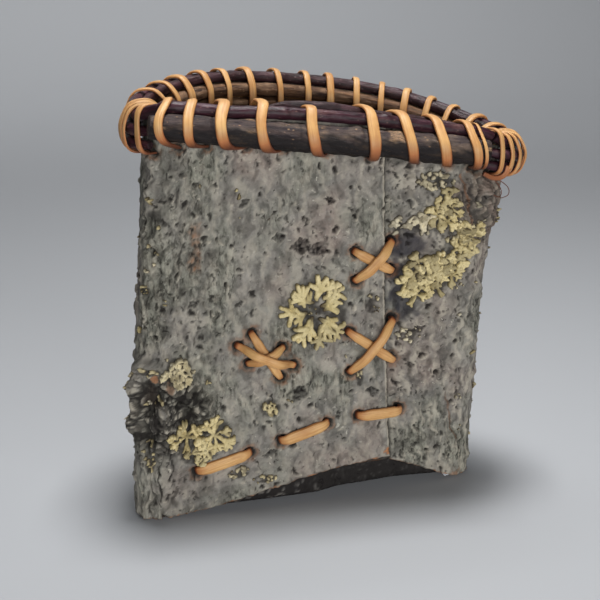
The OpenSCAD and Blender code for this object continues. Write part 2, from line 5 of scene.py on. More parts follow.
import bpy
import numpy as np
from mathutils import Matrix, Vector

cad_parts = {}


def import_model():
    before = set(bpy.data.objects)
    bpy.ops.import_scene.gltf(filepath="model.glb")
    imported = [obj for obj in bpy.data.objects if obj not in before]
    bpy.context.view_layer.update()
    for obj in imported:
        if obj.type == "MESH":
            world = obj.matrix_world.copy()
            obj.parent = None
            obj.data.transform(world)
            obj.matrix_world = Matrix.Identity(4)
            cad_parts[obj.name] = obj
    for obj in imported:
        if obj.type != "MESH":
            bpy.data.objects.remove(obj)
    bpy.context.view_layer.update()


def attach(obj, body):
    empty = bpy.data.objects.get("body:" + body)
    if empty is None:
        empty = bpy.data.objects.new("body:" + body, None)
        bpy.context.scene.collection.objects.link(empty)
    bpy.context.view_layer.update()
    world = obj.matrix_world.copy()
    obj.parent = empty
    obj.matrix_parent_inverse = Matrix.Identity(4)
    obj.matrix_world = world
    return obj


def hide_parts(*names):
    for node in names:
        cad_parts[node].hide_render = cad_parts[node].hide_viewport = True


MM = 0.001

# Shape of the basket in millimetres, as the CAD source has it
WALL_HEIGHT = 166.0
BARK = 2.4
BASE = dict(half=76.0, left=10.0, right=10.0, back=50.0, bulge=2.0)
MOUTH = dict(half=75.0, left=12.0, right=20.0, back=50.0, bulge=1.0)
FRONT_DEPTH = 16.0
LEAN = 10.0
MOUTH_FALL = 0.12
BACK_RISE = 0.05
END_DIP = 8.0
DIP_POWER = 3
BASE_TURN = 0.1
FRONT_SLANT = 0.1
SEAM_PLACE = 0.738
SEAM = 1 + SEAM_PLACE
LAP_START = SEAM - 0.178
LAP_RAMP = 0.2
LAP_EASE = 0.1
LAP_GAP = 0.3
LEFT_ARCH = 14.5
RIGHT_ARCH = 12.2
MOUTH_RUN = 2 * MOUTH["half"] - MOUTH["left"] - MOUTH["right"]


BRANCH_R = 5.5
OUTER_R = 2.6
LOW_R = 2.5
TOP_R = 2.3
INNER_R = 2.85
BRANCH_DROP = 7.1
ROD_GAP = 0.15
BRANCH_Y = -FRONT_DEPTH - MOUTH["bulge"] - BRANCH_R - ROD_GAP
BRANCH_LEFT = -66.5
BRANCH_RIGHT = 71.0
BRANCH_START = 0.72
BRANCH_STOP = 2.14
BRANCH_TAPER = (0.94, 1.07)
OUTER_ABOVE = 1.9
SHOOT_GAP = 0.3
RIDE_GAP = 0.1
RIDE_RISE = 0.4
RIDE_FALL = 0.3
MIDDLE_ABOVE = OUTER_ABOVE - OUTER_R - LOW_R - SHOOT_GAP
LOWER_ABOVE = MIDDLE_ABOVE - 2 * LOW_R - SHOOT_GAP
# Flares and the splice, each with the window of places where it shows
RIGHT_FLARE = 5.6
RIGHT_FLARE_WINDOW = (2.05, 0.6, 3.0, 0.25)
LEFT_FLARE = 3.6
LEFT_FLARE_WINDOW = (3.65, 0.3, 4.25, 0.35)
UPPER_FLARE = 0.4
LOWER_FLARE = 0.75
TOP_START = 1.31
TOP_STOP = 5.24
TOP_INSET = 2.2
TOP_CLEAR = 0.4
SPLICE_RISE = 1.8
SPLICE_WINDOW = (TOP_START, 0.1, 1.53, 0.25)
INNER_UPPER = -2.4
INNER_LOWER = -8.5
LASH_CLEAR = 0.75
STITCH_THICK = 2.2


def smooth(v):
    c = np.clip(v, 0, 1)
    return c * c * (3 - 2 * c)


def window(v, start, rise, stop, fall):
    """Goes from 0 to 1 after start and back to 0 after stop."""
    return smooth((v - start) / rise) * (1 - smooth((v - stop) / fall))


def bell(v, middle, width):
    return np.exp(-(((v - middle) / width) ** 2))


def unit(v):
    return v / np.linalg.norm(v, axis=-1, keepdims=True)


def heading(angle):
    return np.array([math.cos(angle), math.sin(angle)])


def mix(a, b, f):
    return a + (b - a) * f


def path_length(path):
    """Length along a path at each of its points."""
    return np.concatenate([[0], np.cumsum(np.linalg.norm(np.diff(path, axis=0), axis=1))])


def nearest_on_bar(x, y, a, b):
    """Share of the way from a to b that is nearest, and the distance to it."""
    dx, dy = b[0] - a[0], b[1] - a[1]
    f = np.clip(((x - a[0]) * dx + (y - a[1]) * dy) / (dx * dx + dy * dy), 0, 1)
    return f, np.hypot(x - a[0] - f * dx, y - a[1] - f * dy)


def hashed(ix, iy, seed):
    """A fixed random number from 0 to 1 for each whole-number place."""
    h = (ix * 374761393 + iy * 668265263 + seed * 1442695041) & 0xFFFFFFFF
    h = ((h ^ (h >> 13)) * 1274126177) & 0xFFFFFFFF
    return ((h ^ (h >> 16)) & 0xFFFFFFFF) / 2.0**32


def noise(x, y, seed):
    """Smooth noise in the plane, about -1 to 1."""
    ix = np.floor(x).astype(np.int64)
    iy = np.floor(y).astype(np.int64)
    fx = x - ix
    fy = y - iy

    def corner(a, b):
        turn = 2 * np.pi * hashed(ix + a, iy + b, seed)
        return np.cos(turn) * (fx - a) + np.sin(turn) * (fy - b)

    u = fx**3 * (fx * (6 * fx - 15) + 10)
    v = fy**3 * (fy * (6 * fy - 15) + 10)
    low = mix(corner(0, 0), corner(1, 0), u)
    high = mix(corner(0, 1), corner(1, 1), u)
    return 1.5 * mix(low, high, v)


def fbm(x, y, seed, octaves=3):
    total = 0.0
    for k in range(octaves):
        total = total + 0.5**k * noise(x * 2.0**k, y * 2.0**k, seed + 31 * k)
    return total


def cells(x, y, seed):
    """Distance to the nearest of scattered points, the gap to the next one, and the nearest one's number."""
    ix = np.floor(x).astype(np.int64)
    iy = np.floor(y).astype(np.int64)
    best = np.full(np.shape(x), 9.0)
    second = best.copy()
    pick = np.zeros(np.shape(x))
    for a in (-1, 0, 1):
        for b in (-1, 0, 1):
            cx = ix + a
            cy = iy + b
            px = cx + 0.1 + 0.8 * hashed(cx, cy, seed)
            py = cy + 0.1 + 0.8 * hashed(cx, cy, seed + 1)
            d = np.hypot(px - x, py - y)
            near = d < best
            second = np.where(near, best, np.minimum(second, d))
            pick = np.where(near, hashed(cx, cy, seed + 2), pick)
            best = np.where(near, d, best)
    return best, second - best, pick


# A place round the basket: 0 to 1 is the left corner, 1 to 2 the front, 2 to 3 the right corner, 3 to 4 back
def plan(place, half, left, right, back, bulge):
    """Point and outward normal of a level outline at a place."""
    part = np.floor(place).astype(int) % 4
    u = place - np.floor(place)
    side = right - left
    along = u * (side + np.pi / 2 * left)
    a0 = np.pi + np.maximum(along - side, 0) / left
    a2 = np.radians(270 + 90 * u)
    a3 = np.radians(180 * u)
    run = 2 * half - left - right
    parts = [part == 0, part == 1, part == 2]
    x = np.select(
        parts,
        [left - half + left * np.cos(a0), left - half + run * u, half - right + right * np.cos(a2)],
        half * np.cos(a3),
    )
    y = np.select(
        parts,
        [
            np.maximum(side - along, 0) - side + left * np.sin(a0),
            -right - bulge * (0.5 - 0.5 * np.cos(2 * np.pi * u)),
            right * np.sin(a2),
        ],
        back * np.sin(a3),
    )
    slope = -bulge * np.pi * np.sin(2 * np.pi * u) / run
    nx = np.select(parts, [np.cos(a0), slope, np.cos(a2)], np.cos(a3) / half)
    ny = np.select(parts, [np.sin(a0), -1 + 0 * u, np.sin(a2)], np.sin(a3) / back)
    size = np.hypot(nx, ny)
    return x, y + right - FRONT_DEPTH, nx / size, ny / size


def upright(place, t):
    """Shifts places on the front so that the sheet's upright lines slant as they rise."""
    u = place - np.floor(place)
    front = np.floor(place).astype(int) % 4 == 1
    return np.where(front, place + FRONT_SLANT * (0.5 - t) * 4 * u * (1 - u), place)


def top_height(place):
    place = np.asarray(place, float)
    x, y, _, _ = plan(upright(place, 1.0), **MOUTH)
    dip = END_DIP * np.abs(x / MOUTH["half"]) ** DIP_POWER
    return WALL_HEIGHT - MOUTH_FALL * (x + LEAN) + BACK_RISE * y - dip


def wall_frame(place, t):
    """Point and outward normal of the sheet's outer face at share t of its height."""
    place, t = np.broadcast_arrays(np.asarray(place, float), np.asarray(t, float))
    p = upright(place, t)
    bx, by, bnx, bny = plan(p, **BASE)
    mx, my, mnx, mny = plan(p, **MOUTH)
    x = mix(bx, mx, t) + LEAN * np.maximum(t, 0) ** 1.5
    y = mix(by + BASE_TURN * bx, my, t)
    nx = mix(bnx, mnx, t)
    ny = mix(bny, mny, t)
    size = np.hypot(nx, ny)
    normal = np.stack([nx / size, ny / size, 0 * nx], -1)
    return np.stack([x, y, t * top_height(place)], -1), normal


def wall_at(place, z, out):
    """Point at height z on the sheet, out from its outer face."""
    p, n = wall_frame(place, z / top_height(place))
    return p + np.asarray(out, float)[..., None] * n


def rim(place, out, above):
    """Point out from the sheet's outer face and above its upper edge."""
    return wall_at(place, top_height(place) + above, out)


def inset(g):
    """How far the sheet lies in where its other end laps over it."""
    return (BARK + LAP_GAP) * (1 - smooth((g - SEAM) / LAP_RAMP))


def cover(place):
    """How far the lap thickens the wall inwards at a place."""
    q = np.asarray(place, float) % 4
    rise = smooth((q - LAP_START + LAP_EASE) / LAP_EASE)
    return (BARK + LAP_GAP) * np.minimum(rise, 1 - smooth((q - SEAM) / LAP_RAMP))


def low_edge(g):
    """Height of the sheet's arched lower edge."""
    right = RIGHT_ARCH * np.minimum(1, (2 - g) / (2 - SEAM))
    left = LEFT_ARCH * np.sin(np.pi / 2 * np.clip((g - 5) / SEAM_PLACE, 0, 1)) ** 1.5
    return np.where(g < 2, right, np.where(g > 5, left, 0.0))


# Length along the sheet in millimetres, from its under end round to its outer end
G_TABLE = np.linspace(LAP_START, SEAM + 4, 4001)
S_TABLE = path_length(wall_frame(G_TABLE, 0.5)[0])


def along_sheet(g):
    return np.interp(g, G_TABLE, S_TABLE)


def place_on_sheet(s):
    return np.interp(s, S_TABLE, G_TABLE)


def front_sheet(u):
    """Sheet coordinate of a share u of the front, on the panel that shows there."""
    return 1 + u if u > SEAM_PLACE else 5 + u


# Rim: the shoots' sections as places out from the bark's face and above its edge, with radii
def branch_z(x):
    return WALL_HEIGHT - MOUTH_FALL * x - BACK_RISE * FRONT_DEPTH - BRANCH_DROP


def branch_radius(x):
    """The branch thickens from its left end to its right end."""
    return BRANCH_R * mix(*BRANCH_TAPER, (x - BRANCH_LEFT) / (BRANCH_RIGHT - BRANCH_LEFT))


def branch_section(place):
    q = place % 4
    edge, n = wall_frame(q, 1 - BRANCH_DROP / top_height(q))
    out = (BRANCH_Y - edge[1]) / n[1]
    x = edge[0] + out * n[0]
    return out, branch_z(x) - float(top_height(q)), branch_radius(x) / abs(n[1])


def flare(place):
    """How far the outer shoots stand off the bark round the two ends."""
    q = place % 4
    p = q + 4 if q < 1 else q
    right = RIGHT_FLARE * window(p, *RIGHT_FLARE_WINDOW)
    left = LEFT_FLARE * window(p, *LEFT_FLARE_WINDOW)
    return float(right + left)


def outer_out(place):
    return OUTER_R + SHOOT_GAP + UPPER_FLARE * flare(place)


def middle_out(place):
    return LOW_R + SHOOT_GAP + flare(place)


def lower_out(place):
    return LOW_R + SHOOT_GAP + LOWER_FLARE * flare(place)


def top_out(place):
    return UPPER_FLARE * flare(place) - TOP_INSET


def top_above(place):
    """Height of the shoot on the edge, whose first end climbs over the other shoots on the front."""
    return TOP_R + TOP_CLEAR + SPLICE_RISE * float(window(place % 4, *SPLICE_WINDOW))


def upper_above(place):
    """Height of the outer upper shoot, which rides over the branch."""
    q = place % 4
    out, above, radius = branch_section(min(BRANCH_STOP, max(BRANCH_START, q)))
    touch = radius + OUTER_R + RIDE_GAP
    rise = above + math.sqrt(max(0.0, touch**2 - (out - outer_out(q)) ** 2)) - OUTER_ABOVE
    ease = float(window(q, BRANCH_START - RIDE_RISE, RIDE_RISE, BRANCH_STOP, RIDE_FALL))
    return OUTER_ABOVE + max(0.0, rise) * ease


def inner_out(place):
    return -BARK - float(cover(place)) - INNER_R - ROD_GAP


def sections(place, under_splice):
    q = place % 4
    rods = [(outer_out(place), upper_above(place), OUTER_R)]
    rods += [(inner_out(place), INNER_UPPER, INNER_R), (inner_out(place), INNER_LOWER, INNER_R)]
    if not under_splice:
        rods.append((top_out(place), top_above(place), TOP_R))
    if BRANCH_START < q < BRANCH_STOP:
        rods.append(branch_section(place))
    else:
        rods += [(middle_out(place), MIDDLE_ABOVE, LOW_R), (lower_out(place), LOWER_ABOVE, LOW_R)]
    return np.array(rods)


HULL_ANGLES = np.radians(-90 - np.linspace(0, 360, 121))


def taut_line(place, clear, under_splice=False):
    """Line drawn tight round the shoots, from mid bark up the inside and over: points and length shares."""
    rods = sections(place, under_splice)
    direction = np.stack([np.cos(HULL_ANGLES), np.sin(HULL_ANGLES)], 1)
    support = rods[:, :2] @ direction.T + rods[:, 2:3]
    best = support.argmax(0)
    points = rods[best, :2] + (rods[best, 2:3] + clear) * direction
    low = points[:, 1] < points[:, 1].mean()
    middle = -BARK / 2
    after = np.where(low[:-1] & (points[:-1, 0] > middle) & (points[1:, 0] <= middle))[0]
    k = int(after[0]) if len(after) else 0
    f = (points[k, 0] - middle) / max(1e-6, points[k, 0] - points[k + 1, 0])
    start = mix(points[k], points[k + 1], min(1.0, max(0.0, f)))
    loop = np.concatenate([[start], points[k + 1:-1], points[:k + 1], [start]])
    length = path_length(loop)
    return loop, length / length[-1]


# Turns of the lashing. The front ones as hole, place where the strand crosses the top, and width
LASH_START = 2.62
START_HOLES = (2.78, 2.92)
BACK_HOLES = (
    3.04, 3.1, 3.17, 3.225, 3.28, 3.333, 3.385, 3.44, 3.485,
    3.543, 3.605, 3.66, 3.71, 3.77, 3.825, 3.89, 3.95,
)
LEFT_HOLES = (4.06, 4.22, 4.4, 4.58)
SPLICE_TOP = 5.483
FRONT_TURNS = (
    (5.0, 4.83, 3.6),
    (5.11, 5.04, 4.1),
    (5.26, 5.17, 4.5),
    (5.393, 5.315, 4.8),
    (5.54, SPLICE_TOP, 4.6),
    (5.684, 5.68, 4.7),
    (5.837, 5.785, 4.4),
    (5.946, 5.89, 4.4),
    (6.08, 5.985, 4.0),
    (6.16, 6.05, 1.5),
)
RIGHT_HOLES = (6.36, 6.46, 6.56)
# How far the front turns swing back to the left on their way down, and where
SWAY = 0.045
SWAY_WINDOW = (4.95, 0.05, 5.2, 0.6)
TURN_EASE = 2.2


def lash_turns():
    """Hole, top and width of each turn; share is how far on the top lies from the hole before."""
    turns = []

    def wind(holes, share, widths):
        for k, hole in enumerate(holes):
            before = turns[-1][0] if turns else LASH_START
            turns.append((hole, mix(before, hole, share), widths[k % len(widths)]))

    wind(START_HOLES, 0.5, [2.8])
    wind(BACK_HOLES, 0.12, [2.9, 3.2, 3.5])
    wind(LEFT_HOLES, 0.5, [3.1])
    turns.extend(FRONT_TURNS)
    wind(RIGHT_HOLES, 0.75, [2.9])
    return turns


def turn_place(before, top, hole, f):
    """Place of a turn at share f of its way: up the inside, then over the top and down to its hole."""
    if f < 0.5:
        return mix(before, top, 2 * f)
    down = 2 * f - 1
    sway = SWAY * float(window(hole, *SWAY_WINDOW))
    return mix(top, hole, down**TURN_EASE) - sway * math.sin(math.pi * down)


LASH_TURNS = lash_turns()

# Stitch holes on the front, as [share of the run, height]
CROSS_TILT = 3.0


def cross_holes(height, half, left_reach, right_reach):
    left = SEAM_PLACE - left_reach / MOUTH_RUN
    right = SEAM_PLACE + right_reach / MOUTH_RUN
    return [
        (left, height + half),
        (right, height - half + CROSS_TILT),
        (left, height - half),
        (right, height + half + CROSS_TILT),
    ]


UPPER_CROSS = cross_holes(height=103.0, half=6.2, left_reach=12.0, right_reach=2.9)
LOWER_CROSS = cross_holes(height=65.5, half=9.0, left_reach=15.5, right_reach=3.2)
STAR_MIDDLE = (0.32, 67.5)
STAR_TURNS = (-62.0, 23.0, -26.0)
STAR_LENGTHS = (22.5, 14.5, 24.0)
BASE_STARTS = (0.1, 0.36, 0.63)
BASE_SPAN = 0.155
BASE_LOW = 16.0
BASE_RISE = 36.0
BASE_HIGH = 36.0
STITCH_BORE = 2.9
LASH_BORE = 2.2


def star_holes():
    holes = []
    for turn, length in zip(STAR_TURNS, STAR_LENGTHS):
        for side in (-0.5, 0.5):
            along, up = side * length * heading(math.radians(turn))
            holes.append((STAR_MIDDLE[0] + along / MOUTH_RUN, STAR_MIDDLE[1] + up))
    return holes


def base_holes():
    ends = [u for start in BASE_STARTS for u in (start, start + BASE_SPAN)]
    return [(u, min(BASE_LOW + BASE_RISE * u, BASE_HIGH)) for u in ends]


STAR_HOLES = star_holes()
BASE_HOLES = base_holes()


def worked_list():
    """Holes worked in the bark: sheet coordinate, height, radius."""
    stitched = UPPER_CROSS + LOWER_CROSS + STAR_HOLES + BASE_HOLES
    holes = [(front_sheet(u), z, STITCH_BORE) for u, z in stitched]
    for place in [LASH_START] + [turn[0] for turn in LASH_TURNS]:
        drop = taut_line(place, LASH_CLEAR)[0][0, 1]
        on_sheet = place if place < SEAM + 4 else place - 4
        holes.append((on_sheet, float(top_height(place)) + drop, LASH_BORE))
    return holes


WORKED_HOLES = worked_list()

# Burls, as strokes [from, to, half width, rise]: length along the sheet from a corner, height over the burl
LEFT_HEIGHT = 46.0
LEFT_STROKES = (
    ((-11, 19), (-13, 11), 4, 2.8),
    ((-13, 11), (-12.5, -4), 4, 3),
    ((-12.5, -4), (-11, -12), 3.5, 2.4),
    ((-9, 20.5), (1, 20), 2.8, 3),
    ((0, 4), (-0.5, -8), 4.2, 4.6),
    ((3, 11.5), (10, 7.5), 3.4, 4.6),
    ((10, 7.5), (17, -0.5), 3.4, 3.2),
    ((-7, 9), (-6, 3), 4.2, -6),
    ((-7.5, -6), (-6.5, -10), 3, -6),
    ((6, 6), (11.5, -10), 1.8, -3.6),
    ((-0.5, -14.5), (6, -15), 2.6, 2.8),
)
RIGHT_HEIGHT = 124.0
RIGHT_STROKES = (
    ((23, 2), (24, -8), 6.5, 2),
    ((16, 9), (16, -8), 2.8, 1.8),
    ((9, 8), (11, -3), 2.8, 2),
    ((2, 12), (4, -8), 2.6, 1.8),
)
# Bare patches on the left burl: length along, height over it, radius and paleness
BARE_PATCHES = ((-4.0, 15.5, 2.6, 0.1), (1.2, 12.2, 2.4, 0.6))
# Millimetres of sheet in a step of place, on each side of the two front corners
LEFT_RUNS = (18.8, 128.0)
RIGHT_RUNS = (27.4, 121.5)
LAYER_PITCH = 1.7


def left_along(g):
    return (g - 5) * np.where(g < 5, LEFT_RUNS[0], LEFT_RUNS[1])


def right_along(g):
    return (g - 2) * np.where(g < 2, RIGHT_RUNS[1], RIGHT_RUNS[0])


def stroke_relief(x, y, strokes):
    """Relief of a burl's strokes, with thin layers that run along the raised ones."""
    total = 0.0
    layers = 0.0
    for a, b, half, rise in strokes:
        _, d = nearest_on_bar(x, y, a, b)
        body = bell(d, 0, half)
        total = total + rise * body
        if rise > 0:
            layers = np.maximum(layers, body * (0.5 + 0.5 * np.cos(2 * np.pi * d / LAYER_PITCH)))
    return total, layers


# Marks on the bark. Dark scars: sheet coordinate, height, half width, half height and turn
SCARS = [
    (5.448, 113.0, 4.8, 3.8, 8.0),
    (5.505, 111.5, 4.4, 3.8, -15.0),
    (5.427, 49.8, 3.8, 4.6, -20.0),
    (5.683, 46.2, 3.6, 2.6, 0.0),
    (5.37, 118.0, 3.4, 1.8, 15.0),
    (5.55, 132.0, 3.2, 1.6, -12.0),
    (5.248, 132.0, 3.0, 2.0, 40.0),
    (5.32, 24.0, 3.6, 1.9, 10.0),
    (1.86, 72.0, 3.2, 1.5, 10.0),
    (1.83, 56.0, 2.4, 1.6, -5.0),
    (5.08, 92.0, 3.0, 1.5, 25.0),
    (3.3, 110.0, 4.5, 1.8, 10.0),
    (3.55, 62.0, 5.0, 2.0, -8.0),
    (3.75, 128.0, 4.0, 1.6, 5.0),
    (2.6, 80.0, 3.0, 1.8, 12.0),
]
# Cracks: lines of [sheet coordinate, height], half width, and how orange they are
CRACKS = [
    ([(1.968, 41.0), (1.973, 37.8), (1.983, 31.8), (1.995, 25.2), (2.05, 18.5)], 0.36, 0.5),
    ([(1.983, 139.0), (2.032, 130.2), (2.087, 121.5), (2.147, 113.8)], 0.34, 0.7),
    ([(4.9, 24.0), (4.94, 15.0), (4.93, 8.0)], 0.6, 0.0),
    ([(5.02, 30.0), (5.03, 22.0), (5.02, 17.0)], 0.6, 0.0),
    ([(3.2, 22.0), (3.21, 10.0), (3.2, 0.0)], 0.5, 0.5),
    ([(3.7, 0.0), (3.69, 14.0)], 0.5, 0.5),
]
# Lichen. Rosettes: sheet place, height, radius, bare middle, lobes, lobe half width, tip width, whiteness.
# Tufts: sheet place, height, half width, half height, rosettes, their radius, lobe half width, whiteness.
# Crusts: sheet place, height, half width, half height, granules, granule size, whiteness.
LICHENS = (
    ("lichen_middle", [(5.495, 84.8, 14.8, 0.34, 12, 1.75, 0.5, 0.0)], [], [
        (5.495, 85.5, 4.0, 3.0, 6, 0.5, 0.2),
        (5.69, 86.0, 3.5, 5.0, 10, 0.7, 0.4),
        (5.64, 53.0, 2.0, 4.0, 6, 0.7, 0.4),
    ], 61),
    ("lichen_right", [], [
        (1.872, 95.5, 10.5, 8.5, 9, 4.6, 1.2, 0.0),
        (1.962, 100.5, 6.0, 7.0, 5, 4.0, 1.2, 0.0),
        (2.035, 111.5, 4.5, 4.5, 4, 3.6, 1.1, 0.05),
        (1.945, 124.5, 4.5, 6.5, 5, 3.8, 1.15, 0.05),
    ], [
        (1.903, 137.5, 8.0, 4.0, 30, 1.1, 0.6),
        (1.862, 119.0, 6.5, 5.0, 34, 1.3, 0.75),
        (1.785, 118.5, 3.2, 3.0, 9, 1.3, 0.85),
        (1.99, 114.0, 6.0, 6.0, 26, 0.8, 0.4),
        (1.828, 69.8, 6.0, 3.2, 22, 0.8, 0.8),
        (2.7, 117.0, 1.5, 4.0, 8, 0.6, 0.1),
    ], 62),
    ("lichen_left", [
        (5.065, 36.0, 6.8, 0.06, 6, 1.15, 0.75, 0.0),
        (5.148, 35.5, 7.6, 0.06, 6, 1.2, 0.75, 0.0),
    ], [
        (5.1, 27.5, 5.0, 2.5, 4, 2.4, 0.75, 0.1),
        (5.035, 64.5, 3.8, 3.6, 6, 2.6, 0.85, 0.6),
        (5.328, 44.5, 2.2, 1.6, 3, 1.7, 0.6, 0.2),
    ], [
        (5.03, 66.0, 3.6, 3.0, 18, 0.8, 0.9),
        (4.62, 65.0, 6.0, 2.0, 12, 0.8, 0.3),
        (4.8, 52.0, 4.0, 2.0, 5, 0.9, 0.2),
        (4.68, 28.0, 3.0, 8.0, 16, 0.8, 0.2),
        (4.5, 98.0, 2.0, 2.5, 8, 0.6, 0.1),
        (5.22, 17.0, 4.5, 3.0, 18, 0.8, 0.5),
        (5.3, 12.5, 5.0, 2.0, 18, 0.7, 0.3),
    ], 63),
    ("lichen_back", [(3.25, 74.0, 11.0, 0.45, 9, 1.4, 0.3, 0.0)], [
        (3.62, 102.0, 7.0, 6.0, 8, 3.2, 0.8, 0.0),
        (3.85, 48.0, 8.0, 7.0, 9, 3.2, 0.8, 0.1),
        (3.4, 128.0, 5.0, 6.0, 5, 3.4, 1.0, 0.0),
        (3.18, 44.0, 6.0, 6.0, 5, 3.4, 1.0, 0.0),
    ], [(3.45, 40.0, 7.0, 5.0, 30, 0.8, 0.6), (3.1, 120.0, 6.0, 4.0, 24, 0.8, 0.7)], 64),
)
# Bark darkened under and round the lichen: sheet coordinate, height, half width, half height
GROUNDS = [(r[0], r[1], r[2], r[2]) for group in LICHENS for r in group[1]]
GROUNDS += [(t[0], t[1], t[2] + 2.5, t[3] + 2.5) for group in LICHENS for t in group[2]]
GROUNDS += [c[:4] for group in LICHENS for c in group[3]]
# Bluish dark stains: sheet coordinate, height, half width, half height
STAINS = [
    (1.818, 110.0, 10.0, 6.0),
    (1.805, 85.0, 7.0, 10.0),
    (1.785, 98.0, 5.0, 7.0),
    (5.5, 74.0, 9.0, 4.0),
    (3.4, 90.0, 14.0, 20.0),
    (3.9, 112.0, 8.0, 14.0),
]


def line_distance(s, z, points):
    best = np.full(np.shape(s), 1e3)
    for (ga, za), (gb, zb) in zip(points[:-1], points[1:]):
        best = np.minimum(best, nearest_on_bar(s, z, (along_sheet(ga), za), (along_sheet(gb), zb))[1])
    return best


def scattered(s, z, across, up, seed, share, small, large):
    """Spots on some of a set of points: 1 in the middle, 0 from their rims, and the distance in radii."""
    near, _, pick = cells(s / across, z / up, seed)
    size = mix(small, large, (pick * 7.31) % 1)
    chosen = pick < share
    return smooth((size - near) / (0.6 * size)) * chosen, np.where(chosen, near / size, 9.0)


# The bark's outer face is worked up in layers, from its plain skin to its cut edges
DEEPEST = -1.7


class Bark:
    """Relief of the outer face in mm, and its colour fields: dark, orange, pale and stain from 0 to 1, and
    tint; dark also holds painted shade, pale painted highlight.
    """

    def __init__(self, g, z):
        self.g = g
        self.z = z
        self.s = along_sheet(g)
        self.warp_s = self.wave(7, 7, 11)
        self.warp_z = self.wave(7, 7, 17)
        self.fine_s = 0.75 * self.wave(1.9, 1.9, 13)
        self.fine_z = 0.75 * self.wave(1.9, 1.9, 19)
        self.ragged = 1.2 * self.wave(2, 2, 95)
        gap, self.fine_pick = self.plates(1.6, 1.6, 2.8, 2.5, 44)
        self.fine_split = smooth((0.34 - gap) / 0.16)
        side = window(g, 4.1, 0.5, 5.02, 0.25)
        self.ridged = np.maximum(side, 0.4 * window(g, 1.8, 0.15, 2.5, 0.4))
        rough = np.where(g < 2.4, 0.75 + 0.3 * smooth((z - 95) / 25), 0.24 + 0.8 * side)
        self.rough = np.clip(rough + 0.4 * self.wave(22, 22, 5), 0.05, 1.3)
        self.tint = 0.5 + 0.6 * self.wave(26, 34, 101, 3) - 0.35 * side
        self.relief = 0.6 * self.wave(30, 46, 1)
        self.dark = np.zeros(np.shape(g))
        self.orange = self.dark
        self.pale = self.dark
        self.stain = self.dark

    def wave(self, across, up, seed, octaves=2):
        return fbm(self.s / across, self.z / up, seed, octaves)

    def plates(self, warp_s, warp_z, across, up, seed):
        """Broken plates: the gap between them, and a number for each."""
        s = self.s + warp_s * self.warp_s
        z = self.z + warp_z * self.warp_z
        return cells(s / across, z / up, seed)[1:]

    def distance(self, g, z):
        return np.hypot(self.s - along_sheet(g), self.z - z)

    def oval(self, g, z, half_w, half_h):
        return np.hypot((self.s - along_sheet(g)) / half_w, (self.z - z) / half_h)

    def darken(self, *amounts):
        self.dark = np.maximum.reduce([self.dark, *amounts])

    def redden(self, *amounts):
        self.orange = np.maximum.reduce([self.orange, *amounts])

    def whiten(self, *amounts):
        self.pale = np.maximum.reduce([self.pale, *amounts])


def plain_skin(b):
    """Lumps, mounds, ring scars, ridges, pits with a painted highlight beside each, specks, pores, dashes and
    smears; hollows get painted shade, raised parts painted highlight.
    """
    rough = b.rough
    ws = b.s + 1.6 * b.warp_s
    wz = b.z + 1.6 * b.warp_z
    lump = b.wave(6.5, 7.5, 2)
    small_lump = b.wave(2.4, 2.8, 3)
    mound, _ = scattered(ws, wz, 7.0, 6.0, 71, 0.25 + 0.25 * rough, 0.25, 0.5)
    _, ring = scattered(ws, wz, 17.0, 15.0, 75, 0.5, 0.12, 0.24)
    crown = bell(ring, 1.0, 0.35)
    streak_s = b.s + 2.5 * b.warp_s
    fissure = 1 - 2.4 * np.abs(noise(streak_s / 3.4, b.z / 15, 9))
    b.relief = b.relief + (0.4 + 0.45 * rough) * lump + (0.08 + 0.34 * rough) * small_lump
    b.relief += 0.8 * mound + 0.6 * crown - 0.3 * smooth(1 - ring) + 0.6 * b.ridged * fissure

    ps = ws + b.fine_s
    pz = wz + 0.8 * b.fine_z
    pit, pit_far = scattered(ps, pz, 5.2, 5.6, 21, 0.09 + 0.26 * rough, 0.14, 0.34)
    # Painted highlight beside each pit, as if one side of it were lit
    pit_highlight, _ = scattered(ps - 1.2, pz + 1.1, 5.2, 5.6, 21, 0.09 + 0.2 * rough, 0.1, 0.27)
    fine_s = b.s + b.fine_s
    fine_z = b.z + b.fine_z
    speck, _ = scattered(fine_s + b.warp_s, fine_z + b.warp_z, 2.4, 2.8, 61, 0.02 + 0.36 * rough, 0.2, 0.42)
    pore, _ = scattered(fine_s, fine_z, 4.1, 3.6, 81, 0.14, 0.14, 0.3)
    dash, _ = scattered(ps, pz, 3.0, 6.2, 23, 0.08 + 0.42 * rough, 0.14, 0.32)
    # Painted highlight on the raised rim round each pit
    lip = bell(pit_far, 1.4, 0.4)
    b.relief += 0.45 * pore + 0.45 * pit_highlight + 0.35 * lip - 1.1 * pit - 0.5 * speck - 0.6 * dash

    relief_shading = 1.6 * (lump + 0.6 * small_lump)
    smear = 2.2 * fbm(streak_s / 3.6, b.z / 13, 7, 3)
    mottled = 0.42 + 0.08 * (b.g < 2.6)
    b.darken(0.98 * pit, 0.65 * speck, 0.9 * dash, 0.75 * b.ridged * smooth(-1.3 * fissure - 0.1))
    # Painted shade in the hollows of the lumps, and dark smears
    b.darken((0.12 + 0.2 * rough) * smooth(-relief_shading), mottled * smooth(-smear - 0.35))
    # Pale pores, then painted highlight beside and round the pits and on the ring crowns and mounds
    b.whiten(0.7 * pore, 0.95 * pit_highlight, 0.22 * lip + 0.25 * crown + 0.18 * mound)
    # Painted highlight on the tops of the lumps, and pale smears
    b.whiten((0.16 + 0.14 * rough) * smooth(relief_shading - 0.2), (mottled + 0.15 * (b.g < 2.6)) * smooth(smear - 0.2))
    b.pale = b.pale * (1 - b.dark)


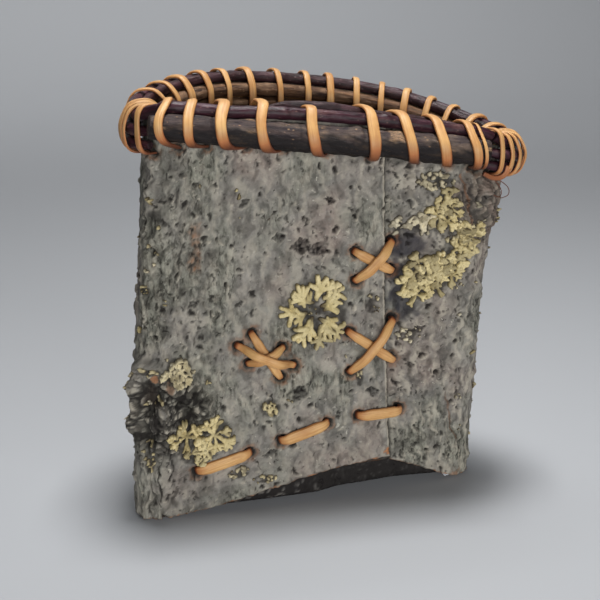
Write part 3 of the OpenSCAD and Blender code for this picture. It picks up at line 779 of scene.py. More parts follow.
def left_burl(b):
    """Rolled and broken bark with dark splits, painted shade in its low parts, painted highlight on its
    crests and layers, a brown hollow and two bare patches.
    """
    here = b.g > 3.6
    x = left_along(b.g)
    y = b.z - LEFT_HEIGHT
    strokes, layers = stroke_relief(x + 1.3 * b.warp_s, y + 1.3 * b.warp_z, LEFT_STROKES)
    swelling = bell(np.hypot(x, y), 0, 17) * here
    burl = smooth(2.4 * swelling - 0.2)
    gap, pick = b.plates(3.2, 3.2, 6.4, 5.6, 41)
    split = smooth((0.3 - gap) / 0.2)
    broken = 0.9 * (pick - 0.5) - 1.2 * split + 0.6 * (layers - 0.4)
    broken += 0.8 * (b.fine_pick - 0.4) - 0.8 * b.fine_split
    broken *= burl * (0.35 + 0.65 * smooth((x + 11) / 8))
    carved = (3.0 * swelling + strokes) * here
    b.relief = b.relief * (1 - 0.5 * burl) + carved + broken
    shadow = smooth((1.1 - carved - 0.8 * broken) / 2.2)
    # Painted shade in the low parts and on the sunken plates, with the dark splits between plates
    shade_and_creases = [0.9 * shadow, split, 0.85 * b.fine_split, 0.72 * smooth((0.42 - b.fine_pick) / 0.15)]
    b.darken(burl * np.maximum.reduce(shade_and_creases), burl * (0.1 + 0.3 * b.wave(4, 4, 49)))
    crest = smooth((b.fine_pick - 0.55) / 0.25) * (1 - b.fine_split)
    b.pale = b.pale * (1 - 0.7 * burl)
    # Painted highlight on the raised layers and crests
    b.whiten(burl * np.maximum(layers, crest) * (1 - 0.8 * shadow) * (1 - split))
    hollow = np.hypot(x + 6.0, 0.9 * (y - 7.0))
    b.redden(0.34 * burl * smooth((5.5 - hollow + 1.5 * b.warp_s) / 3.0))
    for bare_x, bare_y, radius, fade in BARE_PATCHES:
        d = np.hypot(x - bare_x, y - bare_y)
        bare = smooth(radius - d + 0.8 * b.warp_s + 1.4 * b.fine_s) * here
        b.redden(0.8 * bare * (1 - 0.5 * fade))
        b.whiten(fade * bare)
        b.dark = b.dark * (1 - 0.9 * bare)


def right_burl(b):
    """Upright plates on a swelling by the right corner, dark between the plates, with painted highlight on
    the raised ones.
    """
    here = b.g < 3.4
    x = right_along(b.g)
    y = b.z - RIGHT_HEIGHT
    strokes, layers = stroke_relief(x + 1.5 * b.warp_s, y + 1.2 * b.warp_z, RIGHT_STROKES)
    swell = smooth(2.2 * bell(x, 10, 17) * bell(y, 0, 15) * here - 0.2)
    gap, pick = b.plates(3.4, 3.0, 3.6, 11, 47)
    split = smooth((0.34 - gap) / 0.24)
    b.relief += (strokes + 2.0 * bell(np.hypot(x - 2.7, y), 0, 14)) * here
    b.relief += swell * (0.9 * (pick - 0.5) - 1.3 * split - 0.5 * b.fine_split + 0.4 * layers)
    b.darken(0.85 * swell * split, 0.5 * swell * b.fine_split)
    # Painted highlight on the raised plates
    b.whiten(0.6 * swell * (1 - split) * smooth(3 * pick - 1.2))
    b.redden(0.3 * swell * (1 - split))
    b.tint = b.tint + 0.35 * swell


def scars(b):
    uneven = 0.3 * b.wave(1.6, 1.6, 54)
    depth = 0.86 * (0.9 + 0.6 * b.wave(1.5, 1.5, 55))
    for g, z, half_w, half_h, angle in SCARS:
        ds = b.s - along_sheet(g) + 1.2 * b.warp_s
        dz = b.z - z + 1.2 * b.warp_z
        c, k = heading(math.radians(angle))
        d = np.abs(c * ds + k * dz) / half_w + np.abs(c * dz - k * ds) / half_h + uneven
        scar = smooth((1.05 - d) / 0.16)
        b.relief += 0.5 * bell(d, 1.25, 0.3) - 0.7 * scar
        b.darken(scar * depth)
        b.pale = b.pale * (1 - scar)
        b.whiten(0.35 * bell(d, 1.3, 0.2))


def cracks(b):
    for points, half_w, tone in CRACKS:
        d = line_distance(b.s + 1.3 * b.warp_s, b.z + 0.8 * b.warp_z, points)
        core = smooth((half_w - d) / (0.7 * half_w))
        b.relief += 0.3 * bell(d, 1.6 * half_w, 0.8 * half_w) - 0.9 * core
        b.redden(tone * smooth((2.0 * half_w - d) / (1.2 * half_w)))
        b.darken((1 - 0.7 * tone) * core)


def scraped_strip(b):
    """An upright strip scraped bare by the left corner."""
    across = b.s - along_sheet(5.078) + 1.6 * b.warp_s + 0.8 * b.fine_s
    strip = smooth((3.0 - np.abs(across)) / 1.4)
    strip = strip * smooth((b.z - 103 + 2 * b.warp_z) / 3) * smooth((127 + 2 * b.warp_z - b.z) / 3)
    patchy = b.wave(1.7, 2.6, 59)
    b.relief += strip * (0.9 * patchy - 0.4)
    b.redden(strip * (0.42 + 0.3 * patchy))
    b.darken(0.95 * strip * smooth(-2.2 * patchy - 0.1), 0.9 * strip * smooth(-across - 1.4))


def grounds_and_stains(b):
    """Bark darkened under the lichen, and bluish stains."""
    patchy = 0.85 * smooth(0.8 + 0.7 * b.wave(3, 3, 57))
    for ground in GROUNDS:
        b.darken(smooth((1.04 - b.oval(*ground)) / 0.22) * patchy)
    uneven = 0.45 * b.wave(5, 5, 91)
    for stain in STAINS:
        b.stain = np.maximum(b.stain, smooth((1.25 - b.oval(*stain) - uneven) / 0.7))


def worked_holes(b):
    """Holes for the stitches and the lashing, painted dark inside as painted shade, with a torn brown edge.
    """
    for g, z, radius in WORKED_HOLES:
        d = b.distance(g, z)
        core = smooth((radius + 0.5 * b.ragged - d) / 0.8)
        halo = smooth((1.75 * radius + b.ragged - d) / (0.8 * radius))
        b.relief = mix(b.relief, DEEPEST, core) + 0.35 * bell(d, 1.3 * radius, 0.7)
        # Painted shade inside each hole
        b.darken(core)
        b.redden(0.55 * halo * (1 - core))


def cut_edges(b):
    """Edges of the sheet: torn along the foot, a painted highlight along its outer end, painted shade beside
    the lap's end, and flat under the rim.
    """
    top = top_height(b.g)
    lower = b.z - low_edge(b.g)
    end = (SEAM + 4 - b.g) * MOUTH_RUN
    edge = np.minimum.reduce([lower, end, top - b.z, (b.g - LAP_START) * MOUTH_RUN])
    b.relief -= 0.6 * (1 - smooth(edge / 0.8))
    torn = smooth(0.7 + 0.8 * fbm(b.s / 9, 0 * b.s, 97, 2))
    torn = torn * (1 - smooth((lower - 0.2 - 0.5 * b.ragged) / 0.5))
    corner = np.hypot(0.5 * (b.s - along_sheet(2.08)), b.z - 1.0)
    corner = smooth((3.2 - corner + 1.5 * b.ragged) / 2.5) * (b.g < 2.6)
    chip = smooth(2.2 - b.distance(5.733, 17.3) + b.ragged)
    b.redden(0.85 * torn, 0.55 * corner, 0.95 * chip)
    # Painted highlight along the outer end, where its corner would catch the light
    b.whiten(0.9 * (1 - smooth((end - 0.5) / 0.5)))
    # Painted shade on the panel beside the lap's end
    past_seam = np.where(b.g < 2, (b.g - SEAM) * MOUTH_RUN, 99.0)
    b.darken(0.85 * (1 - smooth((past_seam - 0.3) / 1.8)))
    b.relief = np.maximum(b.relief, DEEPEST) * smooth((top - 8 - b.z) / 9)
    b.relief = np.where(b.g < 2, b.relief * smooth((b.g - SEAM + 0.01) / 0.02), b.relief)


def bark_at(g, z):
    bark = Bark(g, z)
    for layer in (plain_skin, left_burl, right_burl, scars, cracks, scraped_strip):
        layer(bark)
    for layer in (grounds_and_stains, worked_holes, cut_edges):
        layer(bark)
    return bark


# Materials
def srgb(r, g, b):
    c = np.array([r, g, b]) / 255.0
    linear = np.where(c <= 0.04045, c / 12.92, ((c + 0.055) / 1.055) ** 2.4)
    return (float(linear[0]), float(linear[1]), float(linear[2]), 1.0)


class Shader:
    """A material's node tree, with short calls for the nodes it needs."""

    def __init__(self, name, roughness, specular):
        self.material = bpy.data.materials.new(name)
        self.material.use_nodes = True
        self.tree = self.material.node_tree
        self.bsdf = self.tree.nodes["Principled BSDF"]
        self.fill(self.bsdf, {"Roughness": roughness, "Specular IOR Level": specular})

    def fill(self, node, values):
        for key, value in values.items():
            if isinstance(value, bpy.types.NodeSocket):
                self.tree.links.new(value, node.inputs[key])
            else:
                node.inputs[key].default_value = value

    def node(self, kind, values, **settings):
        """Adds a node, fills its inputs and returns its outputs."""
        node = self.tree.nodes.new("ShaderNode" + kind)
        for key, value in settings.items():
            setattr(node, key, value)
        self.fill(node, values)
        return node.outputs

    def place(self):
        return self.node("TexCoord", {})["Object"]

    def attribute(self, name):
        return self.node("Attribute", {}, attribute_name=name)

    def channels(self, name):
        return self.node("SeparateColor", {0: self.attribute(name)["Color"]})

    def scaled(self, vector, scale):
        return self.node("Mapping", {"Vector": vector, "Scale": scale})["Vector"]

    def noise(self, vector, scale, detail, rough, distortion=0.0):
        values = {"Vector": vector, "Scale": scale, "Detail": detail, "Roughness": rough}
        return self.node("TexNoise", {**values, "Distortion": distortion})["Fac"]

    def spots(self, vector, scale):
        return self.node("TexVoronoi", {"Vector": vector, "Scale": scale})["Distance"]

    def ranged(self, value, low, high, to_low=0.0, to_high=1.0):
        values = {"Value": value, "From Min": low, "From Max": high, "To Min": to_low, "To Max": to_high}
        return self.node("MapRange", values)["Result"]

    def math(self, operation, a, b):
        return self.node("Math", {0: a, 1: b}, operation=operation)[0]

    def times(self, a, b):
        return self.math("MULTIPLY", a, b)

    def blend(self, factor, a, b):
        return self.node("Mix", {0: factor, 6: a, 7: b}, data_type="RGBA")[2]

    def layers(self, colour, *layers):
        """Lays [factor, colour] pairs over a colour, one after the other."""
        for factor, over in layers:
            colour = self.blend(factor, colour, over)
        return colour

    def bump(self, height, distance, strength):
        return self.node("Bump", {"Height": height, "Distance": distance, "Strength": strength})["Normal"]

    def finish(self, values):
        self.fill(self.bsdf, values)
        return self.material


def bark_material():
    m = Shader("bark", 0.9, 0.06)
    place = m.place()
    dark, orange, pale = m.channels("marks")
    stain, tint, inner = m.channels("extra")
    broad = m.noise(place, 55, 4, 0.6)
    hue = m.noise(place, 95, 3, 0.5)
    blotch = m.noise(place, 190, 4, 0.55, 0.5)
    flake = m.noise(place, 480, 3, 0.55, 0.5)
    grain = m.noise(place, 1300, 3, 0.6)
    crowd = m.ranged(m.noise(place, 75, 2, 0.5), 0.45, 0.62, 0.1, 0.85)
    ticks = m.noise(m.scaled(place, (1.0, 1.0, 0.7)), 400, 2, 0.5, 0.8)
    ticks = m.times(m.ranged(ticks, 0.66, 0.7), crowd)
    dots = m.noise(m.scaled(place, (-1.0, 1.0, 1.0)), 520, 1, 0.5, 0.4)
    dots = m.times(m.ranged(dots, 0.69, 0.73), crowd)
    ridged = m.ranged(tint, 0.12, 0.42, 0.75, 0.0)
    thread = m.noise(m.scaled(place, (1.0, 1.0, 0.35)), 620, 3, 0.6, 0.3)
    torn = m.blend(m.ranged(orange, 0.3, 0.9), srgb(104, 70, 46), srgb(184, 122, 76))
    fibre = m.noise(m.scaled(place, (1.0, 1.0, 0.16)), 500, 4, 0.65)
    colour = m.layers(
        m.blend(m.ranged(broad, 0.36, 0.64), srgb(122, 119, 113), srgb(147, 142, 134)),
        (m.ranged(hue, 0.5, 0.66, 0.0, 0.4), srgb(125, 127, 115)),
        (m.ranged(tint, 0.5, 0.95, 0.0, 0.7), srgb(144, 129, 120)),
        (m.ranged(tint, 0.1, 0.45, 0.7, 0.0), srgb(130, 130, 117)),
        (m.ranged(blotch, 0.34, 0.5, 0.45, 0.0), srgb(80, 78, 75)),
        (m.ranged(blotch, 0.54, 0.72, 0.0, 0.45), srgb(162, 158, 150)),
        (m.ranged(flake, 0.34, 0.46, 0.25, 0.0), srgb(70, 67, 64)),
        (m.ranged(flake, 0.58, 0.72, 0.0, 0.3), srgb(172, 168, 158)),
        (m.ranged(grain, 0.36, 0.46, 0.12, 0.0), srgb(66, 63, 60)),
        (dots, srgb(192, 187, 174)),
        (ticks, srgb(40, 37, 35)),
        (m.times(ridged, m.ranged(thread, 0.4, 0.48, 1.0, 0.0)), srgb(50, 50, 45)),
        (m.times(ridged, m.ranged(thread, 0.56, 0.66, 0.0, 0.8)), srgb(166, 164, 150)),
        # Pale spots, with the painted highlight on raised rims, plates and the sheet's outer end
        (m.times(pale, 0.8), srgb(186, 178, 162)),
        (m.times(stain, 0.82), srgb(54, 53, 60)),
        (m.times(orange, 0.9), torn),
        # Dark spots, with the painted shade in hollows, holes, burl creases and beside the lap
        (m.times(dark, 0.94), srgb(32, 29, 28)),
        (inner, m.blend(fibre, srgb(92, 66, 44), srgb(140, 104, 70))),
    )
    height = m.math("ADD", m.times(blotch, 0.7), m.times(flake, 0.6))
    height = m.math("ADD", height, m.times(grain, 0.2))
    height = m.math("ADD", height, m.times(m.math("SUBTRACT", dots, ticks), 0.3))
    return m.finish({"Base Color": colour, "Normal": m.bump(height, 0.001, 0.8)})


def root_material():
    m = Shader("split_root", 0.5, 0.4)
    grain = m.attribute("grain")["Vector"]
    dark = m.channels("tone")[0]
    streak = m.noise(m.scaled(grain, (1.0, 1.0, 0.05)), 1.5, 3, 0.55)
    patch = m.noise(m.scaled(grain, (0.3, 0.3, 0.25)), 0.35, 3, 0.6)
    colour = m.layers(
        m.blend(m.ranged(patch, 0.35, 0.68), srgb(210, 166, 108), srgb(186, 135, 81)),
        (m.ranged(streak, 0.36, 0.55, 0.35, 0.0), srgb(152, 97, 55)),
        (m.ranged(streak, 0.58, 0.75, 0.0, 0.4), srgb(226, 188, 138)),
        # The dark tone, mostly painted shade, turns the root red-brown and then near black
        (m.ranged(dark, 0.05, 0.5, 0.0, 0.8), srgb(168, 96, 54)),
        (m.ranged(dark, 0.45, 0.95, 0.0, 0.9), srgb(84, 40, 24)),
    )
    roughness = m.ranged(streak, 0.3, 0.7, 0.58, 0.42)
    return m.finish({"Base Color": colour, "Normal": m.bump(streak, 0.0004, 0.6), "Roughness": roughness})


def shoot_material(name, deep, light, bloom, scuff, roughness, bump):
    m = Shader(name, roughness, 0.25)
    grain = m.attribute("grain")["Vector"]
    dark, worn, fresh = m.channels("tone")
    streak = m.noise(m.scaled(grain, (1.0, 1.0, 0.13)), 0.9, 4, 0.6)
    fine = m.noise(m.scaled(grain, (1.0, 1.0, 0.25)), 3.2, 3, 0.6)
    patch = m.noise(m.scaled(grain, (0.4, 0.4, 0.14)), 0.5, 3, 0.6)
    dots = m.spots(m.scaled(grain, (1.0, 1.0, 0.6)), 0.55)
    colour = m.layers(
        m.blend(m.ranged(streak, 0.35, 0.65), srgb(*deep), srgb(*light)),
        (m.ranged(patch, 0.5, 0.68, 0.0, 0.8), srgb(*bloom)),
        (m.ranged(dots, 0.1, 0.2, 0.6, 0.0), srgb(*scuff)),
        (m.times(worn, m.ranged(fine, 0.35, 0.6)), srgb(*scuff)),
        # Dark: painted shade on the underside, in the low ridges and knot grooves, with darker buds and ends
        (m.times(dark, 0.9), srgb(17, 13, 14)),
        (fresh, m.blend(m.noise(grain, 1.2, 2, 0.5), srgb(206, 164, 132), srgb(166, 118, 90))),
    )
    height = m.math("ADD", streak, m.times(fine, 0.5))
    return m.finish({"Base Color": colour, "Normal": m.bump(height, bump, 0.6)})


def lichen_material():
    m = Shader("lichen", 0.92, 0.06)
    dark, lit_tops, white = m.channels("tone")
    place = m.place()
    broad = m.noise(place, 170, 3, 0.6)
    fine = m.noise(place, 1300, 3, 0.65)
    colour = m.layers(
        m.blend(m.ranged(broad, 0.38, 0.62), srgb(192, 175, 124), srgb(222, 206, 156)),
        (m.times(white, 0.8), srgb(222, 215, 196)),
        # Painted highlight on the tallest lobes
        (m.times(lit_tops, 0.55), srgb(232, 217, 170)),
        # Painted shade on low lobes and between lobes
        (m.times(dark, 0.96), srgb(38, 31, 33)),
        (m.ranged(fine, 0.38, 0.5, 0.2, 0.0), srgb(126, 108, 78)),
    )
    return m.finish({"Base Color": colour, "Normal": m.bump(fine, 0.0004, 0.7)})


# Meshes
ATTRIBUTE_KINDS = {3: ("FLOAT_VECTOR", "vector"), 4: ("FLOAT_COLOR", "color")}


def make_piece(name, points_mm, faces, material, smooth_count=None, **rows):
    """A mesh whose first smooth_count faces, or all, are smooth; rows are attributes of its points."""
    mesh = bpy.data.meshes.new(name)
    mesh.from_pydata((np.asarray(points_mm) * MM).tolist(), [], faces)
    count = len(faces) if smooth_count is None else smooth_count
    mesh.polygons.foreach_set("use_smooth", np.arange(len(faces)) < count)
    for key, values in rows.items():
        kind, field = ATTRIBUTE_KINDS[values.shape[1]]
        layer = mesh.attributes.new(key, kind, "POINT")
        layer.data.foreach_set(field, values.astype(np.float32).ravel())
    mesh.materials.append(material)
    mesh.update()
    piece = bpy.data.objects.new(name, mesh)
    bpy.context.scene.collection.objects.link(piece)
    return piece


def colour_rows(*channels):
    rows = np.stack([c.ravel() for c in np.broadcast_arrays(*channels)], 1)
    return np.pad(rows, ((0, 0), (0, 1)), constant_values=1.0)


def joined(parts):
    """Joins meshes, each [points, faces, attribute rows], into one of the same form."""
    faces = []
    count = 0
    for part in parts:
        faces += [[k + count for k in face] for face in part[1]]
        count += len(part[0])
    points, _, *rows = zip(*parts)
    return np.concatenate(points), faces, *[np.concatenate(row) for row in rows]


def sheet_faces(columns, rows, base=0):
    a = base + (np.arange(columns - 1)[:, None] * rows + np.arange(rows - 1)[None, :]).ravel()
    return np.stack([a, a + rows, a + rows + 1, a + 1], 1)


def slab(outer, inner, step):
    """Joins a fine outer grid and every step-th point of an inner grid into one closed sheet.

    Gives points, faces, how many of them are smooth, which come first, and the thin inner grid's shape.
    """
    columns, rows = outer.shape[:2]
    pick_i = sorted(set(range(0, columns, step)) | {columns - 1})
    pick_j = sorted(set(range(0, rows, step)) | {rows - 1})
    coarse = inner[np.ix_(pick_i, pick_j)]
    shape = coarse.shape[:2]
    base = columns * rows
    fine = np.arange(base).reshape(columns, rows)
    thin = base + np.arange(shape[0] * shape[1]).reshape(shape)
    faces = sheet_faces(columns, rows).tolist()
    faces += sheet_faces(*shape, base)[:, ::-1].tolist()
    smooth_count = len(faces)

    def close_edge(fine_row, thin_row, picks, turned):
        for k, (a, b) in enumerate(zip(picks[:-1], picks[1:])):
            face = fine_row[a:b + 1].tolist() + [int(thin_row[k + 1]), int(thin_row[k])]
            faces.append(face[::-1] if turned else face)

    close_edge(fine[:, 0], thin[:, 0], pick_i, True)
    close_edge(fine[:, -1], thin[:, -1], pick_i, False)
    close_edge(fine[0], thin[0], pick_j, False)
    close_edge(fine[-1], thin[-1], pick_j, True)
    return np.concatenate([outer.reshape(-1, 3), coarse.reshape(-1, 3)]), faces, smooth_count, shape


def sheet_piece(name, points, faces, smooth_count, material, marks, extra):
    """A bark sheet. The colours and painted shade of its outer grid come first, and the points after it are
    plain inner bark.
    """
    rest = np.zeros(len(points) - marks[0].size)
    marks = np.concatenate([colour_rows(*marks), colour_rows(rest, rest, rest)])
    extra = np.concatenate([colour_rows(*extra), colour_rows(rest, rest + 0.5, rest + 1)])
    return make_piece(name, points, faces, material, smooth_count, marks=marks, extra=extra)


# Columns of the wall's grid: from, to, how many; and its rows
WALL_SPANS = (
    (LAP_START, SEAM - 0.02, 10),
    (SEAM - 0.02, 2.0, 58),
    (2.0, 3.0, 50),
    (3.0, 4.0, 140),
    (4.0, 5.0, 46),
    (5.0, SEAM + 4, 160),
)
WALL_ROWS = 290
WALL_STEP = 3


def build_wall(material):
    columns = [np.linspace(a, b, n, endpoint=False) for a, b, n in WALL_SPANS]
    g = np.concatenate(columns + [[SEAM + 4]])[:, None]
    s = along_sheet(g)
    low = low_edge(g) + 0.5 * fbm(s / 5, 0 * s, 121, 3) * smooth(low_edge(g) / 3)
    z = low + (top_height(g) - low) * np.linspace(0, 1, WALL_ROWS)
    g = g + 0 * z
    bark = bark_at(g, z)
    outer = wall_at(g, z, bark.relief - inset(g))
    outer[-1, :, 0] += 0.35 * fbm(z[-1] / 4, 0 * z[-1], 131, 3)
    inner = wall_at(g, z, -inset(g) - BARK + 0.2 * fbm(s / 3, z / 25, 141, 3))
    points, faces, smooth_count, _ = slab(outer, inner, WALL_STEP)
    marks = bark.dark, bark.orange, bark.pale
    extra = bark.stain, bark.tint, 0 * z
    return sheet_piece("bark_wall_sheet", points, faces, smooth_count, material, marks, extra)


FLAP_BEND = 5.0
FLAP_SIDE = 42.0
FLAP_TOP = 84.0
FLAP_SPREAD = 68.0
SHEET_GAP = 0.2
FLAP_ENDS = (0.03, 0.97)
FLAP_COLUMNS = 116
FLAP_ROWS = 52
BEND_ROWS = 8
FLAP_STEP = 2
FLOOR_POINTS = 90


def flap_top(u):
    reach = np.minimum(np.pi / 2, np.abs(u - STAR_MIDDLE[0]) * MOUTH_RUN * np.pi / FLAP_SPREAD)
    return FLAP_SIDE + (FLAP_TOP - FLAP_SIDE) * np.maximum(0, np.cos(reach)) ** 0.6


def flap_face(u, thickness):
    """Grid of the bottom's front, from its foot through the bend and up the flap."""
    depth = BARK + SHEET_GAP + cover(1 + u)
    turn = np.radians(90 * (1 - np.arange(BEND_ROWS) / BEND_ROWS))
    r = FLAP_BEND - thickness
    bend = wall_at(1 + u, FLAP_BEND - r * np.sin(turn), -(depth + FLAP_BEND - r * np.cos(turn)))
    flat = wall_at(1 + u, mix(FLAP_BEND, flap_top(u), np.linspace(0, 1, FLAP_ROWS)), -(depth + thickness))
    return np.concatenate([bend, flat], 1)


def close_floor(points, faces, fine_shape, thin_shape):
    """Adds the flat part of the bottom, under and over, from the flap's foot round the back."""
    places = np.linspace(2, 4.999, FLOOR_POINTS)
    under = wall_at(places, 0 * places, -(BARK + SHEET_GAP))
    low = [len(points) + k for k in range(FLOOR_POINTS)]
    high = [k + FLOOR_POINTS for k in low]
    columns, rows = fine_shape
    fine = [i * rows for i in range(columns)]
    thin = [columns * rows + i * thin_shape[1] for i in range(thin_shape[0])]
    foot = set(fine + thin)
    faces = [face for face in faces if not foot.issuperset(face)]
    faces.append(low[::-1] + fine[::-1])
    faces.append(thin + high)
    for k in range(FLOOR_POINTS - 1):
        faces.append([low[k], low[k + 1], high[k + 1], high[k]])
    faces.append([fine[-1], low[0], high[0], thin[-1]])
    faces.append([low[-1], fine[0], thin[0], high[-1]])
    return np.concatenate([points, under, under + [0, 0, BARK]]), faces


def build_bottom(material):
    u = np.linspace(*FLAP_ENDS, FLAP_COLUMNS)[:, None]
    outer = flap_face(u, 0.0)
    z = outer[..., 2]
    s = 400 + u * MOUTH_RUN + 0 * z
    warp = fbm(s / 4, z / 4, 203, 2)
    near, _, pick = cells((s + 1.5 * warp) / 3.2, (z + 1.5 * warp) / 2.6, 205)
    pit = smooth((0.3 - near) / 0.2) * (pick < 0.55)
    near, _, pick = cells((s + warp) / 2.4, (z - warp) / 2.0, 209)
    pale = smooth((0.36 - near) / 0.2) * (pick < 0.4) * smooth((16 - z) / 6)
    pale = pale * (1 - 0.75 * smooth((u - 0.35) / 0.2))
    lift = 0.35 * fbm(s / 3, z / 3, 201, 3) + 0.5 * pale - 0.6 * pit
    outer[..., 1] -= np.where(z < 30, lift, 0.3 * lift) * smooth(z / 1.2)
    points, faces, smooth_count, thin_shape = slab(outer, flap_face(u, BARK), FLAP_STEP)
    points, faces = close_floor(points, faces, z.shape, thin_shape)
    # The bottom's front is painted nearly black and stained: its dark bark with painted shade under the
    # wall's raised edge, and pale flecks mostly at the left
    marks = 0.95 + 0.05 * pit - 0.85 * pale, 0 * z, 0.9 * pale
    extra = 0.8 + 0 * z, 0.4 + 0 * z, 0 * z
    return sheet_piece("bark_bottom_sheet", points, faces, smooth_count, material, marks, extra)


def upward(path):
    return np.tile([0.0, 0.0, 1.0], (len(path), 1))


def sweep_rings(path, across, outline):
    """Rings of points along a path: outline holds [across, out] offsets for each station."""
    tangent = unit(np.gradient(path, axis=0))
    normal = unit(np.cross(tangent, across))
    side = np.cross(normal, tangent)
    return path[:, None, :] + outline[..., :1] * side[:, None, :] + outline[..., 1:] * normal[:, None, :]


def ring_faces(stations, sides, base=0):
    i = np.arange(stations - 1)[:, None]
    j = np.arange(sides)[None, :]
    k = (j + 1) % sides
    a = base + i * sides
    return np.stack([a + j, a + k, a + sides + k, a + sides + j], -1).reshape(-1, 4)


# Rings that round off the end of a rod: scale and push
ROD_ENDS = ((0.9, 0.25), (0.55, 0.35))


def build_rod(name, path, radius, material, sides, seed, knots, rough, scuff, under=0.3, fresh=(0.0, 0.0)):
    """A shoot with knots, uneven skin and cut ends, with painted shade in its low ridges and knot grooves;
    under tells how much painted shade its underside takes, fresh how bare the wood of each end is.
    """
    length = path_length(path)[:, None]
    a = 2 * np.pi * np.arange(sides)[None, :] / sides
    circle = np.stack([np.cos(a), np.sin(a)], -1)
    around_x = 3 * np.cos(a)
    around_y = 3 * np.sin(a)
    skin = fbm(length / 6 + around_x, around_y + seed * 7.7 + 0 * length, 300 + seed, 2)
    ridges = fbm(1.6 * around_x + length / 30, 1.6 * around_y + seed * 3.1 + 0 * length, 340 + seed, 2)
    waist = 0.05 * noise(length / 17, 0 * length + seed, 350 + seed)
    r = radius[:, None] * (1 + rough * skin + 0.6 * rough * ridges + waist)
    # Painted shade in the low parts of the ridged skin, and painted shade on the underside as much as under
    # asks
    dark = np.maximum(0.35 * smooth(-1.4 * ridges - 0.2), under * smooth(1.15 - 1.9 * np.cos(a) + 0.9 * skin))
    for at, swell, turn in knots:
        bud = bell(length, at, 2.2) * bell(np.angle(np.exp(1j * (a - turn))), 0, 0.6)
        groove = bell(length, at + 1.9, 0.5)
        r = r + swell * (0.35 * bell(length, at, 1.5) + bud - 0.18 * groove)
        # Painted shade in the groove round each knot; the buds are darker
        dark = np.maximum(dark, 0.75 * groove + 0.35 * bud)
    worn = scuff * smooth(1.6 * fbm(length / 14, around_x / 2 + around_y / 3 + seed, 370 + seed, 3) - 0.4)
    rings = sweep_rings(path, upward(path), r[..., None] * circle)
    points = [rings.reshape(-1, 3)]
    tone = [colour_rows(dark, worn, 0 * worn)]
    flat_grain = np.broadcast_to(radius.mean() * circle, (*r.shape, 2))
    grain = [np.concatenate([flat_grain, (length + 97 * seed + 0 * a)[..., None]], -1).reshape(-1, 3)]
    faces = ring_faces(len(path), sides).tolist()
    for end, inward, cut in ((0, 1, fresh[0]), (len(path) - 1, -2, fresh[1])):
        outward = unit(path[end] - path[inward])
        previous = [end * sides + j for j in range(sides)]
        for scale, push in ROD_ENDS:
            count = sum(map(len, points))
            now = [count + j for j in range(sides)]
            for j in range(sides):
                k = (j + 1) % sides
                face = [previous[j], previous[k], now[k], now[j]]
                faces.append(face if end else face[::-1])
            points.append(path[end] + scale * (rings[end] - path[end]) + push * outward)
            none = np.zeros(sides)
            tone.append(colour_rows(none + 0.6, none, none + cut))
            grain.append(np.pad(scale * radius[end] * circle[0], ((0, 0), (0, 1))))
            previous = now
        faces.append(previous if end else previous[::-1])
    points, tone, grain = map(np.concatenate, (points, tone, grain))
    return make_piece(name, points, faces, material, tone=tone, grain=grain)


def rim_path(start, stop, out, above, seed):
    """A shoot's line round the rim, with a little wander."""
    places = np.linspace(start, stop, SHOOT_STATIONS)
    drift = SHOOT_WANDER * fbm(places * 3, 0 * places, 400 + seed, 2)
    lift = SHOOT_WANDER * fbm(places * 3, 0 * places + 5, 410 + seed, 2)
    outs = np.array([out(p) for p in places])
    aboves = np.array([above(p) for p in places])
    return rim(places, outs + drift, aboves + lift)


def tapered(path, radius, thin, reach):
    length = path_length(path)
    ends = np.minimum(length / reach[0], (length[-1] - length) / reach[1])
    return radius * mix(thin, 1.0, smooth(ends))


STRAND_SIDES = 16


def strand_outline(width, thick, sides):
    """Sections of a split root: flat, rounded over the outside."""
    a = 2 * np.pi * np.arange(sides) / sides
    x = np.sign(np.cos(a)) * np.abs(np.cos(a)) ** 0.75
    y = np.where(np.sin(a) > 0, 0.66 * np.abs(np.sin(a)) ** 0.75, -0.34 * np.abs(np.sin(a)) ** 0.6)
    return np.stack([0.5 * width[:, None] * x[None, :], thick[:, None] * y[None, :]], -1), a


def strand_parts(path, across, width, thick, deep, seed, sides=STRAND_SIDES):
    """Points, faces, tone and grain of one split root strand; deep is how much darker each station is
    painted.
    """
    length = path_length(path)
    outline, a = strand_outline(width, thick, sides)
    rings = sweep_rings(path, across, outline)
    # Painted shade on the strand's edges
    edge = np.abs(np.cos(a))[None, :] ** 6
    patchy = noise(length / 9, 0 * length + seed, 500 + seed)[:, None]
    dark = np.clip(0.4 * edge + deep[:, None] + 0.1 * patchy, 0, 1)
    grain = np.stack([outline[..., 0], outline[..., 1], length[:, None] + 0 * a[None, :] + 131.0 * seed], -1)
    faces = ring_faces(len(path), sides).tolist()
    last = (len(path) - 1) * sides
    faces.append(list(range(sides))[::-1])
    faces.append([last + j for j in range(sides)])
    return rings.reshape(-1, 3), faces, colour_rows(dark, 0 * dark, 0 * dark), grain.reshape(-1, 3)


def join_strands(name, parts, material):
    points, faces, tone, grain = joined(parts)
    return make_piece(name, points, faces, material, tone=tone, grain=grain)


def curve_through(points, steps):
    """Smooth curve through points, with steps stations on each span."""
    p = np.concatenate([[2 * points[0] - points[1]], points, [2 * points[-1] - points[-2]]])
    f = np.linspace(0, 1, steps, endpoint=False)[:, None]
    parts = []
    for a, b, c, d in zip(p[:-3], p[1:-2], p[2:-1], p[3:]):
        parts.append(b + 0.5 * f * (c - a + f * (2 * a - 5 * b + 4 * c - d + f * (3 * (b - c) + d - a))))
    return np.concatenate(parts + [points[-1:]])


STATIONS = 40
LOOSE_STEPS = 8
HAIR_SIDES = 6
HAIR_WIDTH = 0.34
